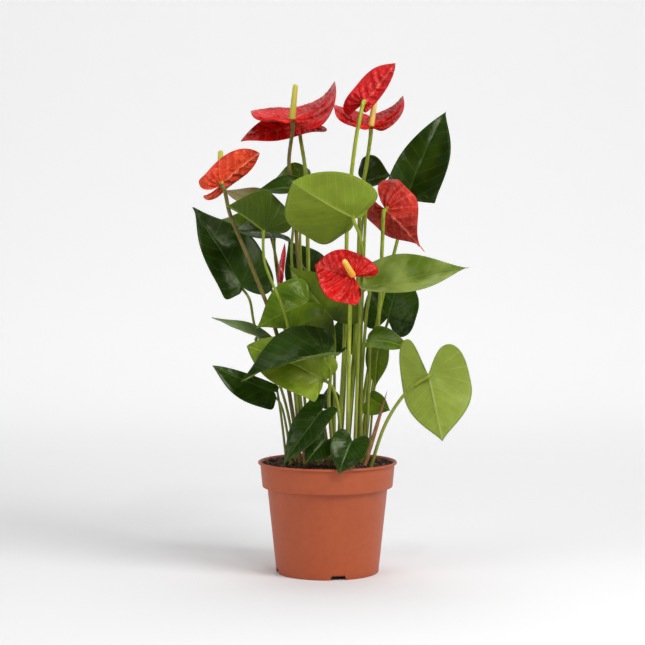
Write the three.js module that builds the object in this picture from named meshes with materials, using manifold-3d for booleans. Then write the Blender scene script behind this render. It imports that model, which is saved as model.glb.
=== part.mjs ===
// Potted anthurium: a terracotta-coloured plastic nursery pot filled with peat, about thirty heart-shaped
// leaves on round petioles, seven red blooms with a yellow spadix each, and one rolled bud.
// Millimetres, +Z up, origin at the centre of the pot's foot, front of the plant towards -Y.
import * as THREE from 'three';
import { mergeVertices } from 'three/addons/utils/BufferGeometryUtils.js';
import Module from 'manifold-3d';

const wasm = await Module();
wasm.setup();

// --- driving dimensions ---
const GAP = 0.3;
const POT_HEIGHT = 96;
const POT_FOOT_RADIUS = 44.2;
const POT_BODY_TOP_RADIUS = 52;
const POT_COLLAR_Z = 74;
const POT_COLLAR_BOTTOM_RADIUS = 56.2;
const POT_COLLAR_TOP_RADIUS = 58;
const POT_LIP_RADIUS = 60;
const POT_LIP_HEIGHT = 2.2;
const POT_WALL = 1.2;
const POT_FOOT_RING_WIDTH = 1.8;
const POT_BASE_Z = 2.2;
const POT_PAD_RADIUS = 9;
const EDGE = 0.5;
const POT_SIDES = 36;
const NOTCH_COUNT = 4;
const NOTCH_ANGLE = 12;
const NOTCH_WIDTH = 14;
const NOTCH_TOP_WIDTH = 11;
const NOTCH_HEIGHT = 4.2;
const SOIL_EDGE_Z = 93;
const SOIL_MOUND = 1.6;
const SOIL_RINGS = 5;
const SOIL_LUMP = 1.1;
const SOIL_LUMP_SPAN = 3;
const SOIL_CRUMB = 0.6;
const SOIL_CRUMB_SPAN = 1.2;
const BLADE_THICKNESS = 0.7;
const LEAF_SPOKES = [4, 2, 2];
const LARGE_LEAF = 38;
const LARGE_LEAF_RINGS = 3;
const SMALL_LEAF_RINGS = 2;
const LEAF_NECK = 4;
const SPATHE_SPOKES = [5, 3, 2];
const SPATHE_RINGS = 3;
const SPATHE_RIB = 0.5;
const SPATHE_SPREAD = BLADE_THICKNESS + 2 * GAP;
const RING_POWER = 0.9;
const STEM_SIDES = 5;
const STEM_STEPS = 8;
const BUD_SIDES = 6;
const HOLE_CLEARANCE = 0.6;
const SPADIX_SIDES = 8;
const SPADIX_RINGS = 10;
const SPADIX_RADIUS = 2.6;
const SPADIX_TIP_RADIUS = 1.5;
const SPADIX_BUMP = 0.12;
const SPATHE_NECK = 5;

// --- materials: colour, roughness and metalness of each kind of surface ---
const tones = {
  pot: [0xa8532f, 0.55],
  soil: [0x2b211b, 0.95],
  dark: [0x274a2b, 0.3],
  mid: [0x4a7038, 0.4],
  light: [0x7f9a35, 0.5],
  olive: [0x59702e, 0.55],
  bronze: [0x6b3a20, 0.45],
  grey: [0x6d8068, 0.55],
  red: [0xc0121f, 0.3],
  spadix: [0xd2c255, 0.6],
  stem: [0x7c8a35, 0.5],
  sheath: [0x8a5a34, 0.7],
};

// --- shape rows ---
// at: where the petiole meets the blade; tip: the blade's point; face: where the upper side looks
// left, right: width and lobe as shares of the midrib, then fold at the midrib and cup, in radians
// arch: bend of the midrib; curl: bend of the basal lobes; wave: height, count and phase of the margin
// stalk: points from the root in the soil up to just under the blade
const leaves = [
  {
    name: 'leaf_far_left', tone: 'dark', radius: 1.3,
    at: [-75, 8, 248], tip: [-118, 22, 315], face: [0, -0.8, 0.6],
    left: [0.27, 0.08, 0.1, 0.2], right: [0.38, 0.2, 0.35, 0.3], arch: 0.3, curl: 0.3, twist: 0.7,
    wave: [1.5, 6.5, 0], blunt: 0.3,
    stalk: [[-24, 7, 76], [-38, 7, 151], [-63, 15, 211], [-68, 12, 236]],
  },
  {
    name: 'leaf_bronze_back', tone: 'bronze', radius: 1.3,
    at: [-58, 45, 316], tip: [-95, 60, 330], face: [-0.1, -0.4, 0.9],
    left: [0.4, 0.28, 0.2, 0.2], right: [0.4, 0.28, 0.2, 0.2], arch: 0.5, curl: 0.3, twist: 0,
    wave: [1, 6.5, 0], blunt: 0,
    stalk: [[-18, 16, 76], [-32, 26, 200], [-50, 40, 290]],
  },
  {
    name: 'leaf_olive_folded', tone: 'olive', radius: 1.3,
    at: [-54, -30, 294], tip: [-84, -62, 314], face: [-0.3, 0.3, 0.9],
    left: [0.64, 0.34, 0.8, 0.3], right: [0.5, 0.28, 1, 0.3], arch: 0.3, curl: 0.3, twist: 0,
    wave: [1, 6.5, 0], blunt: 0,
    stalk: [[-17, -20, 76], [-29, -28, 180], [-36, -34, 224], [-53, -32, 268]],
  },
  {
    name: 'leaf_dark_high', tone: 'dark', radius: 1.3,
    at: [-24, -12, 330], tip: [-63, -20, 326], face: [0, -0.6, 0.8],
    left: [0.45, 0.2, 0.3, 0.2], right: [0.35, 0.2, 0.2, 0.2], arch: 0.4, curl: 0.3, twist: 0,
    wave: [1, 6.5, 0], blunt: 0,
    stalk: [[-14, 5, 76], [-26, 9, 225], [-31, 5, 275], [-27, -6, 313]],
  },
  {
    name: 'leaf_pale_high', tone: 'mid', radius: 1.3,
    at: [-22, 30, 338], tip: [-48, 26, 338], face: [0, -0.6, 0.8],
    left: [0.4, 0.28, 0.2, 0.2], right: [0.75, 0.28, 0.2, 0.2], arch: 0.3, curl: 0.3, twist: 0,
    wave: [1, 6.5, 0], blunt: 0,
    stalk: [[-10, 19, 76], [-20, 26, 217], [-24, 29, 290]],
  },
  {
    name: 'leaf_green_left', tone: 'mid', radius: 1.3,
    at: [-74, 34, 297], tip: [-99, 54, 303], face: [0, -0.6, 0.8],
    left: [0.45, 0.28, 0.2, 0.2], right: [0.45, 0.28, 0.2, 0.2], arch: 0.6, curl: 0.3, twist: 0,
    wave: [1, 6.5, 0], blunt: 0,
    stalk: [[-22, 14, 76], [-35, 20, 199], [-58, 28, 265]],
  },
  {
    name: 'leaf_dark_left', tone: 'dark', radius: 1.3,
    at: [-45, 18, 293], tip: [-84, 10, 293], face: [0, -0.6, 0.8],
    left: [0.45, 0.28, 0.2, 0.2], right: [0.45, 0.28, 0.2, 0.2], arch: 0.3, curl: 0.3, twist: 0,
    wave: [1, 6.5, 0], blunt: 0,
    stalk: [[-15, 10, 76], [-38, 14, 217], [-46, 17, 278]],
  },
  {
    name: 'leaf_broad_light', tone: 'light', radius: 1.5,
    at: [21, -45, 305], tip: [-29, -70, 334], face: [0.2, 0.85, 0.45],
    left: [0.52, 0.12, 0.1, 0.3], right: [0.76, 0.12, 0.1, 0.3], arch: -0.3, curl: 0.3, twist: 0,
    wave: [1.5, 6.5, 0], blunt: 0.7,
    stalk: [[22, -17, 76], [27, -36, 228], [28, -45, 285]],
  },
  {
    name: 'leaf_dark_high_right', tone: 'dark', radius: 1.3,
    at: [33, 30, 338], tip: [56, 16, 342], face: [-0.1, -0.85, 0.5],
    left: [0.85, 0.3, 0.1, 0.3], right: [0.4, 0.3, 0.1, 0.2], arch: 0.3, curl: 0.3, twist: 0,
    wave: [1, 6.5, 0], blunt: 0,
    stalk: [[16, 18, 76], [27, 22, 217], [30, 28, 295]],
  },
  {
    name: 'leaf_tall_right', tone: 'dark', radius: 1.6,
    at: [69, 45, 322], tip: [106, 60, 401], face: [-0.3, -0.9, 0.3],
    left: [0.24, 0.1, 0.15, 0.2], right: [0.35, -0.1, 0.15, 0.2], arch: 0.3, curl: 0.3, twist: 0,
    wave: [1.5, 6.5, 0], blunt: 0.2,
    stalk: [[20, 24, 76], [44, 32, 216], [62, 42, 287]],
  },
  {
    name: 'leaf_waved_right', tone: 'light', radius: 1.5,
    at: [34, -30, 246], tip: [119, -45, 263], face: [-0.1, -0.6, 0.8],
    left: [0.3, 0.02, 0.2, 0.2], right: [0.43, 0, 0.6, 0.1], arch: 0.15, curl: 0.3, twist: 0.6,
    wave: [2.5, 3, 1.2], blunt: -0.15,
    stalk: [[29, -10, 76], [29, -9, 158], [33, -18, 222]],
  },
  {
    name: 'leaf_dark_right_back', tone: 'dark', radius: 1.3,
    at: [54, 42, 219], tip: [69, 54, 262], face: [-0.2, -0.9, 0.2],
    left: [0.5, 0.3, 0.1, 0.2], right: [0.56, 0.3, 0.1, 0.2], arch: 0.3, curl: 0.3, twist: 0,
    wave: [1, 6.5, 0], blunt: 0,
    stalk: [[30, 10, 76], [40, 26, 160], [50, 45, 203]],
  },
  {
    name: 'leaf_striped_right', tone: 'mid', radius: 1.3,
    at: [35, -26, 202], tip: [70, -38, 195], face: [0, -0.5, 0.85],
    left: [0.46, 0.06, 0.1, 0.2], right: [0.36, 0.02, -0.1, 0.3], arch: 0.4, curl: 0.3, twist: 0,
    wave: [1, 6.5, 0], blunt: 0,
    stalk: [[32, -2, 76], [35, -13, 150], [36, -20, 187]],
  },
  {
    name: 'leaf_bronze_hanging', tone: 'olive', radius: 1,
    at: [44, -2, 192], tip: [41, -13, 160], face: [-0.2, -0.9, 0.1],
    left: [0.32, 0.28, 0.2, 0.2], right: [0.32, 0.28, 0.2, 0.2], arch: 0.3, curl: 0.3, twist: 0,
    wave: [0.5, 6.5, 0], blunt: 0,
    stalk: [[34, 4, 76], [40, 10, 150], [44, 4, 186]],
  },
  {
    name: 'leaf_hanging_right', tone: 'light', radius: 1.5,
    at: [85, -38, 172], tip: [96, -48, 118], face: [-0.1, 0.9, 0.3],
    left: [0.43, 0.62, 0.1, 0.2], right: [0.66, 0.4, 0.1, 0.2], arch: 0.2, curl: 0.3, twist: 0,
    wave: [1, 6.5, 0], blunt: 0.2,
    stalk: [[32, -18, 76], [50, -30, 133], [69, -36, 161]],
  },
  {
    name: 'leaf_small_right', tone: 'mid', radius: 1.3,
    at: [37, 2, 150], tip: [54, -8, 140], face: [-0.1, -0.9, 0.3],
    left: [0.36, 0.1, 0.2, 0.2], right: [0.7, 0, 0.1, 0.2], arch: 0.4, curl: 0.3, twist: 0,
    wave: [0.5, 6.5, 0], blunt: 0.2,
    stalk: [[26, 6, 76], [28, 5, 120], [32, 4, 144]],
  },
  {
    name: 'leaf_over_rim_right', tone: 'dark', radius: 1.1,
    at: [20, -50, 118], tip: [9, -66, 92], face: [0, -0.8, 0.6],
    left: [0.5, 0.28, 0.1, 0.2], right: [0.5, 0.28, 0.1, 0.2], arch: 0.3, curl: 0.3, twist: 0,
    wave: [0.5, 6.5, 0], blunt: 0,
    stalk: [[22, -30, 76], [21, -40, 108]],
  },
  {
    name: 'leaf_over_rim_small', tone: 'dark', radius: 1,
    at: [-2, -40, 118], tip: [-19, -50, 99], face: [0, -0.8, 0.6],
    left: [0.5, 0.28, 0.1, 0.2], right: [0.5, 0.28, 0.1, 0.2], arch: 0.3, curl: 0.3, twist: 0,
    wave: [0.5, 6.5, 0], blunt: 0,
    stalk: [[1, -31, 76], [0, -36, 108]],
  },
  {
    name: 'leaf_over_rim_left', tone: 'dark', radius: 1.2,
    at: [-6, -38, 141], tip: [-37, -46, 98], face: [-0.3, -0.8, 0.5],
    left: [0.3, 0.2, 0.2, 0.2], right: [0.29, 0.28, 0.1, 0.2], arch: 0.3, curl: 0.3, twist: 0,
    wave: [0.5, 6.5, 0], blunt: 0.1,
    stalk: [[-9, -24, 76], [-5, -30, 124]],
  },
  {
    name: 'leaf_left_lower', tone: 'dark', radius: 1.1,
    at: [-47, -24, 158], tip: [-97, -38, 181], face: [-0.1, -0.8, 0.6],
    left: [0.38, 0.08, 0.1, 0.2], right: [0.13, 0.08, 0.2, 0.2], arch: -0.3, curl: 0.3, twist: 0,
    wave: [0.5, 6.5, 0], blunt: 0.4,
    stalk: [[-30, -6, 76], [-35, -14, 125], [-41, -21, 149]],
  },
  {
    name: 'leaf_left_front', tone: 'dark', radius: 1.5,
    at: [-2, -50, 190], tip: [-72, -66, 169], face: [0, -0.5, 0.85],
    left: [0.3, 0.28, 0.55, 0.2], right: [0.45, 0.2, 0.2, 0.2], arch: 0.6, curl: -1, twist: 0,
    wave: [1, 6.5, 0], blunt: 0,
    stalk: [[8, -24, 76], [1, -34, 150], [2, -45, 179]],
  },
  {
    name: 'leaf_yellow_front', tone: 'light', radius: 1.5,
    at: [-6, -38, 170], tip: [-68, -35, 197], face: [-0.2, -0.8, 0.5],
    left: [0.38, 0.05, 0.1, 0.3], right: [0.33, 0.12, 0.2, 0.2], arch: 0.6, curl: 0.3, twist: 0,
    wave: [1.5, 6.5, 0], blunt: 0.6,
    stalk: [[14, -18, 76], [7, -30, 154], [0, -36, 167]],
  },
  {
    name: 'leaf_mid_left', tone: 'mid', radius: 1.3,
    at: [-18, -14, 233], tip: [-61, -22, 211], face: [-0.1, -0.85, 0.5],
    left: [0.42, 0.2, 0.1, 0.2], right: [0.5, 0.15, 0.2, 0.3], arch: 0.3, curl: 0.3, twist: 0,
    wave: [1, 6.5, 0], blunt: 0,
    stalk: [[-8, -6, 76], [-16, -11, 180], [-18, -12, 215]],
  },
  {
    name: 'leaf_olive_centre', tone: 'olive', radius: 1.3,
    at: [4, 2, 219], tip: [-33, -4, 265], face: [-0.3, -0.85, 0.4],
    left: [0.45, 0.28, 0.1, 0.2], right: [0.45, 0.28, 0.1, 0.2], arch: 0.3, curl: 0.3, twist: 0,
    wave: [1, 6.5, 0], blunt: 0,
    stalk: [[6, 2, 76], [6, 4, 165], [6, 5, 204]],
  },
  {
    name: 'leaf_edge_on_left', tone: 'grey', radius: 1.1,
    at: [-60, -7, 204], tip: [-100, -4, 220], face: [0, -0.25, 0.97],
    left: [0.3, 0.28, 0.2, 0.2], right: [0.3, 0.28, 0.2, 0.2], arch: 0.1, curl: 0.3, twist: 0,
    wave: [0.5, 6.5, 0], blunt: 0,
    stalk: [[-33, 1, 76], [-45, -8, 166], [-56, -10, 198]],
  },
  {
    name: 'leaf_centre_back', tone: 'dark', radius: 1.3,
    at: [-10, 40, 247], tip: [-35, 50, 287], face: [-0.2, -0.9, 0.2],
    left: [0.45, 0.28, 0.1, 0.2], right: [0.45, 0.28, 0.1, 0.2], arch: 0.3, curl: 0.3, twist: 0,
    wave: [1, 6.5, 0], blunt: 0,
    stalk: [[-6, 28, 76], [-10, 37, 216]],
  },
  {
    name: 'leaf_inner_right', tone: 'dark', radius: 1.3,
    at: [15, 36, 194], tip: [16, 54, 222], face: [-0.2, -0.9, 0.2],
    left: [0.4, 0.28, 0.1, 0.2], right: [0.4, 0.28, 0.1, 0.2], arch: 0.3, curl: 0.3, twist: 0,
    wave: [1, 6.5, 0], blunt: 0,
    stalk: [[10, 30, 76], [15, 35, 150]],
  },
  {
    name: 'leaf_mid_high', tone: 'mid', radius: 1.3,
    at: [35, -8, 324], tip: [21, -34, 337], face: [0, -0.2, 0.95],
    left: [0.2, 0.08, 0.2, 0.2], right: [0.25, 0.08, 0.2, 0.2], arch: 0.3, curl: 0.3, twist: 0,
    wave: [1, 6.5, 0], blunt: 0,
    stalk: [[25, -1, 76], [29, -8, 209], [32, -8, 295]],
  },
  {
    name: 'leaf_inner_low', tone: 'dark', radius: 1.3,
    at: [4, 20, 142], tip: [1, 40, 157], face: [-0.1, -0.9, 0.2],
    left: [0.35, 0.1, 0.1, 0.2], right: [0.35, 0.1, 0.1, 0.2], arch: 0.3, curl: 0.3, twist: 0,
    wave: [0.5, 6.5, 0], blunt: 0,
    stalk: [[2, 19, 76], [4, 19, 120]],
  },
];

const blooms = [
  {
    name: 'bloom_high_left', tone: 'red', radius: 1.6,
    at: [-30, -18, 387], tip: [-30, 42, 402], face: [-0.12, -0.4, 0.9],
    left: [0.58, 0.1, 0.2, 0.1], right: [0.8, 0.6, 0.1, 0.9], arch: 0.1, curl: 0.2, twist: 0,
    wave: [1, 6.5, 0], blunt: 0.7,
    spadix: [-27, -20, 418],
    stalk: [[-2, 6, 76], [-20, 8, 218], [-26, 4, 279], [-28, 1.5, 315], [-33, -3, 352]],
  },
  {
    name: 'bloom_left_open', tone: 'red', radius: 1.6,
    at: [-23, 22, 386], tip: [-74, -10, 370], face: [0.1, -0.65, 0.75],
    left: [0.26, 0.35, 0.1, 0.1], right: [0.28, 0.3, 0.1, 0.1], arch: 0.2, curl: 0.2, twist: 0,
    wave: [1, 6.5, 0], blunt: 0.35,
    spadix: [-30, 26, 395],
    stalk: [[1, 12, 76], [-15, 15, 217], [-17, 15, 280], [-19, 19, 345]],
  },
  {
    name: 'bloom_high_right', tone: 'red', radius: 1.6,
    at: [37, -4, 382], tip: [38, 38, 395], face: [0, -0.3, 0.95],
    left: [0.84, 0.3, 0.3, 0.35], right: [0.86, 0.45, 0.4, 0.6], arch: 0.1, curl: 0.2, twist: 0,
    wave: [1, 6.5, 0], blunt: 0.7,
    spadix: [41, -2, 409],
    stalk: [[14, 12, 76], [25, 16, 217], [27.5, 20, 286], [28.8, 21, 322], [33.5, 11, 350]],
  },
  {
    name: 'bloom_top', tone: 'red', radius: 1.6,
    at: [31, -20, 402], tip: [57, -26, 435], face: [0.3, 0.9, 0.1],
    left: [0.18, 0.15, 0.1, 0.1], right: [0.38, 0.5, 0.1, 0.1], arch: 0.3, curl: -0.6, twist: 0,
    wave: [1, 6.5, 0], blunt: 0.5,
    spadix: [36, -8, 413],
    stalk: [[8, 12, 76], [16, 13, 226], [17, -6, 303], [24, -26, 372]],
  },
  {
    name: 'bloom_far_left', tone: 'red', radius: 1.6,
    at: [-90, -36, 332], tip: [-57, -30, 359], face: [-0.5, 0.75, 0.4],
    left: [0.27, 0.5, 0.1, 0.4], right: [0.4, 0.4, 0.1, 0.4], arch: 0.3, curl: -0.8, twist: 0,
    wave: [1, 6.5, 0], blunt: 0.9,
    spadix: [-90, -26, 362],
    stalk: [[-20, -10, 76], [-43, -5, 204], [-66, -15, 267], [-82, -32, 308]],
  },
  {
    name: 'bloom_front', tone: 'red', radius: 1.6,
    at: [21, -56, 256], tip: [-11, -60, 265], face: [-0.1, -0.9, 0.4],
    left: [0.85, 0.28, 0.1, 0.2], right: [0.6, 0.6, 0.1, 0.2], arch: 0.2, curl: 0.2, twist: 0,
    wave: [1, 6.5, 0], blunt: 0.6,
    spadix: [13, -68, 270],
    stalk: [[17, -9, 76], [18, -30, 185], [19, -46, 240]],
  },
  {
    name: 'bloom_right', tone: 'red', radius: 1.6,
    at: [50, -8, 312], tip: [82, -20, 276], face: [0.2, 0.9, 0.4],
    left: [0.48, 0.75, 0.2, 0.3], right: [0.54, 0.85, 0.1, 0.7], arch: 0.3, curl: -0.6, twist: 0.3,
    wave: [1, 6.5, 0], blunt: -0.6,
    spadix: [62, 6, 337],
    stalk: [[27, 17, 76], [35, 16, 150], [44, 8, 216], [47, -2, 283]],
  },
];

// bud: rolled spathe from foot to tip, and the points of its stem
const BUD_FOOT = [-42, 8, 244];
const BUD_TIP = [-36.8, 8, 284];
const BUD_RADII = [1.6, 2.4, 2.6, 2.6, 2.4, 2.2, 1.8, 1.2];
const BUD_STALK = [[-15, -2, 76], [-26, 4, 170], [-36, 8, 220], [-42, 8, 243.5]];
const BUD_STEM_RADIUS = 1.2;

// sheaths: foot in the soil and free tip of each papery spike
const SHEATH_RADII = [1.6, 2.2, 2.4, 2.2, 1.8, 1.1];
const sheaths = [
  { name: 'sheath_tall', foot: [27, -24, 80], tip: [51, -20, 159] },
  { name: 'sheath_left', foot: [-15, -29, 80], tip: [-27, -29, 146] },
  { name: 'sheath_front', foot: [3, -22, 80], tip: [-5, -25, 147] },
];

// --- solids and meshes ---
function solidOf(geometry) {
  const bare = geometry.clone();
  bare.deleteAttribute('normal');
  bare.deleteAttribute('uv');
  const merged = mergeVertices(bare, 1e-4);
  const corners = merged.index.array;
  const faces = [];
  for (let i = 0; i < corners.length; i += 3) {
    const [a, b, c] = [corners[i], corners[i + 1], corners[i + 2]];
    if (a !== b && b !== c && c !== a) {
      faces.push(a, b, c);
    }
  }
  return new wasm.Manifold(new wasm.Mesh({
    numProp: 3,
    vertProperties: new Float32Array(merged.attributes.position.array),
    triVerts: new Uint32Array(faces),
  }));
}

function largestPiece(solid) {
  const pieces = solid.decompose();
  return pieces.reduce((best, piece) => (piece.volume() > best.volume() ? piece : best));
}

function meshOf(solid, name, tone) {
  const raw = solid.getMesh();
  const geometry = new THREE.BufferGeometry();
  geometry.setAttribute('position', new THREE.BufferAttribute(new Float32Array(raw.vertProperties), 3));
  geometry.setIndex(new THREE.BufferAttribute(new Uint32Array(raw.triVerts), 1));
  geometry.computeVertexNormals();
  const [color, roughness] = tones[tone];
  const mesh = new THREE.Mesh(geometry, new THREE.MeshStandardMaterial({ color, roughness, metalness: 0 }));
  mesh.name = name;
  return mesh;
}

function vector(point) {
  return new THREE.Vector3(point[0], point[1], point[2]);
}

// --- blades: one curved fan of spokes and rings, offset to both sides ---
// half outline from the point (u = 0) round the lobe to the sinus (u = 3), in midrib lengths
function outline(u, width, lobe, blunt) {
  const segments = [
    [
      [1, 0],
      [0.82 + 0.13 * blunt, 0.04 + 0.4 * width * blunt],
      [0.56 + 0.26 * blunt, width],
      [0.2 + 0.1 * blunt, width],
    ],
    [[0.2 + 0.1 * blunt, width], [-0.05, width], [-lobe, 0.92 * width], [-lobe, 0.55 * width]],
    [[-lobe, 0.55 * width], [-lobe, 0.22 * width], [-0.1, 0.1 * width], [-0.03, 0]],
  ];
  const k = Math.min(2, Math.floor(u));
  const t = u - k;
  const s = 1 - t;
  const weights = [s * s * s, 3 * t * s * s, 3 * t * t * s, t * t * t];
  const along = weights.reduce((sum, w, i) => sum + w * segments[k][i][0], 0);
  const aside = weights.reduce((sum, w, i) => sum + w * segments[k][i][1], 0);
  return [along, aside];
}

function bladeFrame(row) {
  const at = vector(row.at);
  const chord = vector(row.tip).sub(at);
  const length = chord.length();
  const along = chord.normalize();
  const face = vector(row.face);
  face.addScaledVector(along, -face.dot(along)).normalize();
  return { at, along, face, length };
}

// point of the curved blade at share a along the midrib and b to the left (+) or right (-)
function bladePoint(row, a, b, rho, u, rib) {
  const { at, along, face, length } = bladeFrame(row);
  const half = row.arch / 2;
  const arc = length * half / Math.sin(half);
  const bend = a >= 0 ? row.arch / arc : row.curl / (0.3 * arc);
  const angle = half - bend * a * arc;
  const forward = (Math.sin(half) - Math.sin(angle)) / bend;
  const lift = (Math.cos(angle) - Math.cos(half)) / bend;
  const tangent = along.clone().multiplyScalar(Math.cos(angle)).addScaledVector(face, Math.sin(angle));
  const normal = along.clone().multiplyScalar(-Math.sin(angle)).addScaledVector(face, Math.cos(angle));
  const side = new THREE.Vector3().crossVectors(normal, tangent);
  const sign = b >= 0 ? 1 : -1;
  const [width, , fold, cup] = b >= 0 ? row.left : row.right;
  const turn = fold + cup * Math.abs(b) / width;
  const radius = width * arc / cup;
  const across = radius * (Math.sin(turn) - Math.sin(fold));
  const up = radius * (Math.cos(fold) - Math.cos(turn));
  const twist = row.twist * a;
  const sideTurned = side.clone().multiplyScalar(Math.cos(twist)).addScaledVector(normal, Math.sin(twist));
  const faceTurned = side.clone().multiplyScalar(-Math.sin(twist)).addScaledVector(normal, Math.cos(twist));
  const [height, count, phase] = row.wave;
  const shift = b >= 0 ? 0 : 1.3;
  const wave = height * rho * rho * Math.sin(count * u + phase + shift) + rib;
  const point = at.clone().addScaledVector(along, forward).addScaledVector(face, lift);
  point.addScaledVector(sideTurned, sign * (across - wave * Math.sin(turn)));
  return point.addScaledVector(faceTurned, up + wave * Math.cos(turn));
}

function bladeRim(spokes) {
  const half = spokes.flatMap((count, k) => Array.from({ length: count }, (_, i) => k + i / count));
  const left = half.map((u) => [u, 1]);
  const right = half.slice(1).reverse().map((u) => [u, -1]);
  return [...left, [3, 0], ...right];
}

function bladeFan(row, spokes, rings, rib) {
  const rim = bladeRim(spokes);
  const points = [vector(row.at)];
  for (let j = 1; j <= rings; j += 1) {
    const rho = (j / rings) ** RING_POWER;
    rim.forEach(([u, side], i) => {
      const [width, lobe] = side < 0 ? row.right : row.left;
      const [a, b] = outline(u, width, lobe, row.blunt);
      const lift = rib * (i % 2) * Math.sin(Math.PI * rho);
      points.push(bladePoint(row, rho * a, rho * b * (side || 1), rho, u, lift));
    });
  }
  const count = rim.length;
  const faces = rim.map((_, i) => [0, 1 + i, 1 + ((i + 1) % count)]);
  for (let j = 0; j < rings - 1; j += 1) {
    for (let i = 0; i < count; i += 1) {
      const p = 1 + j * count + i;
      const q = 1 + j * count + ((i + 1) % count);
      faces.push([p, p + count, q + count], [p, q + count, q]);
    }
  }
  return { points, faces, count };
}

function fanNormals({ points, faces }) {
  const normals = points.map(() => new THREE.Vector3());
  faces.forEach(([a, b, c]) => {
    const ab = points[b].clone().sub(points[a]);
    const ac = points[c].clone().sub(points[a]);
    const cross = ab.cross(ac);
    [a, b, c].forEach((corner) => normals[corner].add(cross));
  });
  return normals.map((normal) => normal.normalize());
}

function meshSolid(points, faces) {
  const geometry = new THREE.BufferGeometry();
  geometry.setAttribute('position', new THREE.Float32BufferAttribute(points.flatMap((p) => p.toArray()), 3));
  geometry.setIndex(faces.flat());
  return solidOf(geometry);
}

function bladeSolid(row, spokes, rings, rib, thickness) {
  const fan = bladeFan(row, spokes, rings, rib);
  const normals = fanNormals(fan);
  const total = fan.points.length;
  const upper = fan.points.map((p, i) => p.clone().addScaledVector(normals[i], thickness / 2));
  const lower = fan.points.map((p, i) => p.clone().addScaledVector(normals[i], -thickness / 2));
  const faces = [...fan.faces, ...fan.faces.map(([a, b, c]) => [a + total, c + total, b + total])];
  const first = total - fan.count;
  for (let i = 0; i < fan.count; i += 1) {
    const p = first + i;
    const q = first + ((i + 1) % fan.count);
    faces.push([p, p + total, q + total], [p, q + total, q]);
  }
  return meshSolid([...upper, ...lower], faces);
}

// --- stems: six-sided rods swept along a smooth curve ---
function stemTube(points, radius) {
  const section = Array.from({ length: STEM_SIDES }, (_, k) => {
    const angle = 2 * Math.PI * k / STEM_SIDES;
    return new THREE.Vector2(radius * Math.cos(angle), radius * Math.sin(angle));
  });
  const path = new THREE.CatmullRomCurve3(points.map(vector));
  const options = { steps: STEM_STEPS, bevelEnabled: false, extrudePath: path };
  return solidOf(new THREE.ExtrudeGeometry(new THREE.Shape(section), options));
}

// where a stem ends at its blade: square to it, at a distance below the middle of its thickness
function stemEnd(row, neck, distance) {
  const { along, face } = bladeFrame(row);
  const lean = row.arch / 2;
  const down = along.clone().multiplyScalar(Math.sin(lean)).addScaledVector(face, -Math.cos(lean));
  return [neck, distance].map((reach) => vector(row.at).addScaledVector(down, reach).toArray());
}

// the hole of a stem in the soil: the same sweep, wider and a little deeper
function stemHole([root, ...rest], radius) {
  const deeper = [root[0], root[1], root[2] - GAP];
  return stemTube([deeper, ...rest], radius + HOLE_CLEARANCE);
}

// --- spindles: a straight axis with a ring of corners at each given radius ---
function spindle(start, end, radii, sides, bump) {
  const axis = vector(end).sub(vector(start));
  const length = axis.length();
  axis.normalize();
  const first = new THREE.Vector3(0.3, 1, 0.1).cross(axis).normalize();
  const second = new THREE.Vector3().crossVectors(axis, first);
  const points = [vector(start)];
  radii.forEach((radius, j) => {
    const centre = vector(start).addScaledVector(axis, length * (j + 0.5) / radii.length);
    for (let k = 0; k < sides; k += 1) {
      const angle = 2 * Math.PI * (k + 0.5 * (j % 2)) / sides;
      const reach = radius * (1 + bump * (k % 2 ? 1 : -1));
      const corner = centre.clone().addScaledVector(first, reach * Math.cos(angle));
      points.push(corner.addScaledVector(second, reach * Math.sin(angle)));
    }
  });
  points.push(vector(end));
  const top = points.length - 1;
  const faces = [];
  for (let k = 0; k < sides; k += 1) {
    const next = (k + 1) % sides;
    faces.push([0, 1 + next, 1 + k], [top, top - sides + k, top - sides + next]);
    for (let j = 0; j < radii.length - 1; j += 1) {
      const p = 1 + j * sides;
      faces.push([p + k, p + next, p + next + sides], [p + k, p + next + sides, p + k + sides]);
    }
  }
  return meshSolid(points, faces);
}

function widened(radii) {
  return radii.map((radius) => radius + HOLE_CLEARANCE);
}

// --- leaves: blade and petiole are one body ---
function petiolePoints(row) {
  return [...row.stalk, ...stemEnd(row, LEAF_NECK, 0)];
}

function buildLeaf(row) {
  const rings = bladeFrame(row).length > LARGE_LEAF ? LARGE_LEAF_RINGS : SMALL_LEAF_RINGS;
  const blade = bladeSolid(row, LEAF_SPOKES, rings, 0, BLADE_THICKNESS);
  const petiole = stemTube(petiolePoints(row), row.radius);
  return meshOf(blade.add(petiole), row.name, row.tone);
}

// --- blooms: stem, spathe and spadix, each its own body ---

function flowerStemPoints(row) {
  return [...row.stalk, ...stemEnd(row, SPATHE_NECK, SPATHE_SPREAD / 2)];
}

// the room that a spathe needs: itself made thicker, and itself moved by the gap each way
function roomAround(spathe, row) {
  const moved = [-GAP, GAP].flatMap((step) => [
    spathe.translate([step, 0, 0]),
    spathe.translate([0, step, 0]),
    spathe.translate([0, 0, step]),
  ]);
  const thick = bladeSolid(row, SPATHE_SPOKES, SPATHE_RINGS, SPATHE_RIB, SPATHE_SPREAD);
  return wasm.Manifold.union([thick, ...moved]);
}

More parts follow.
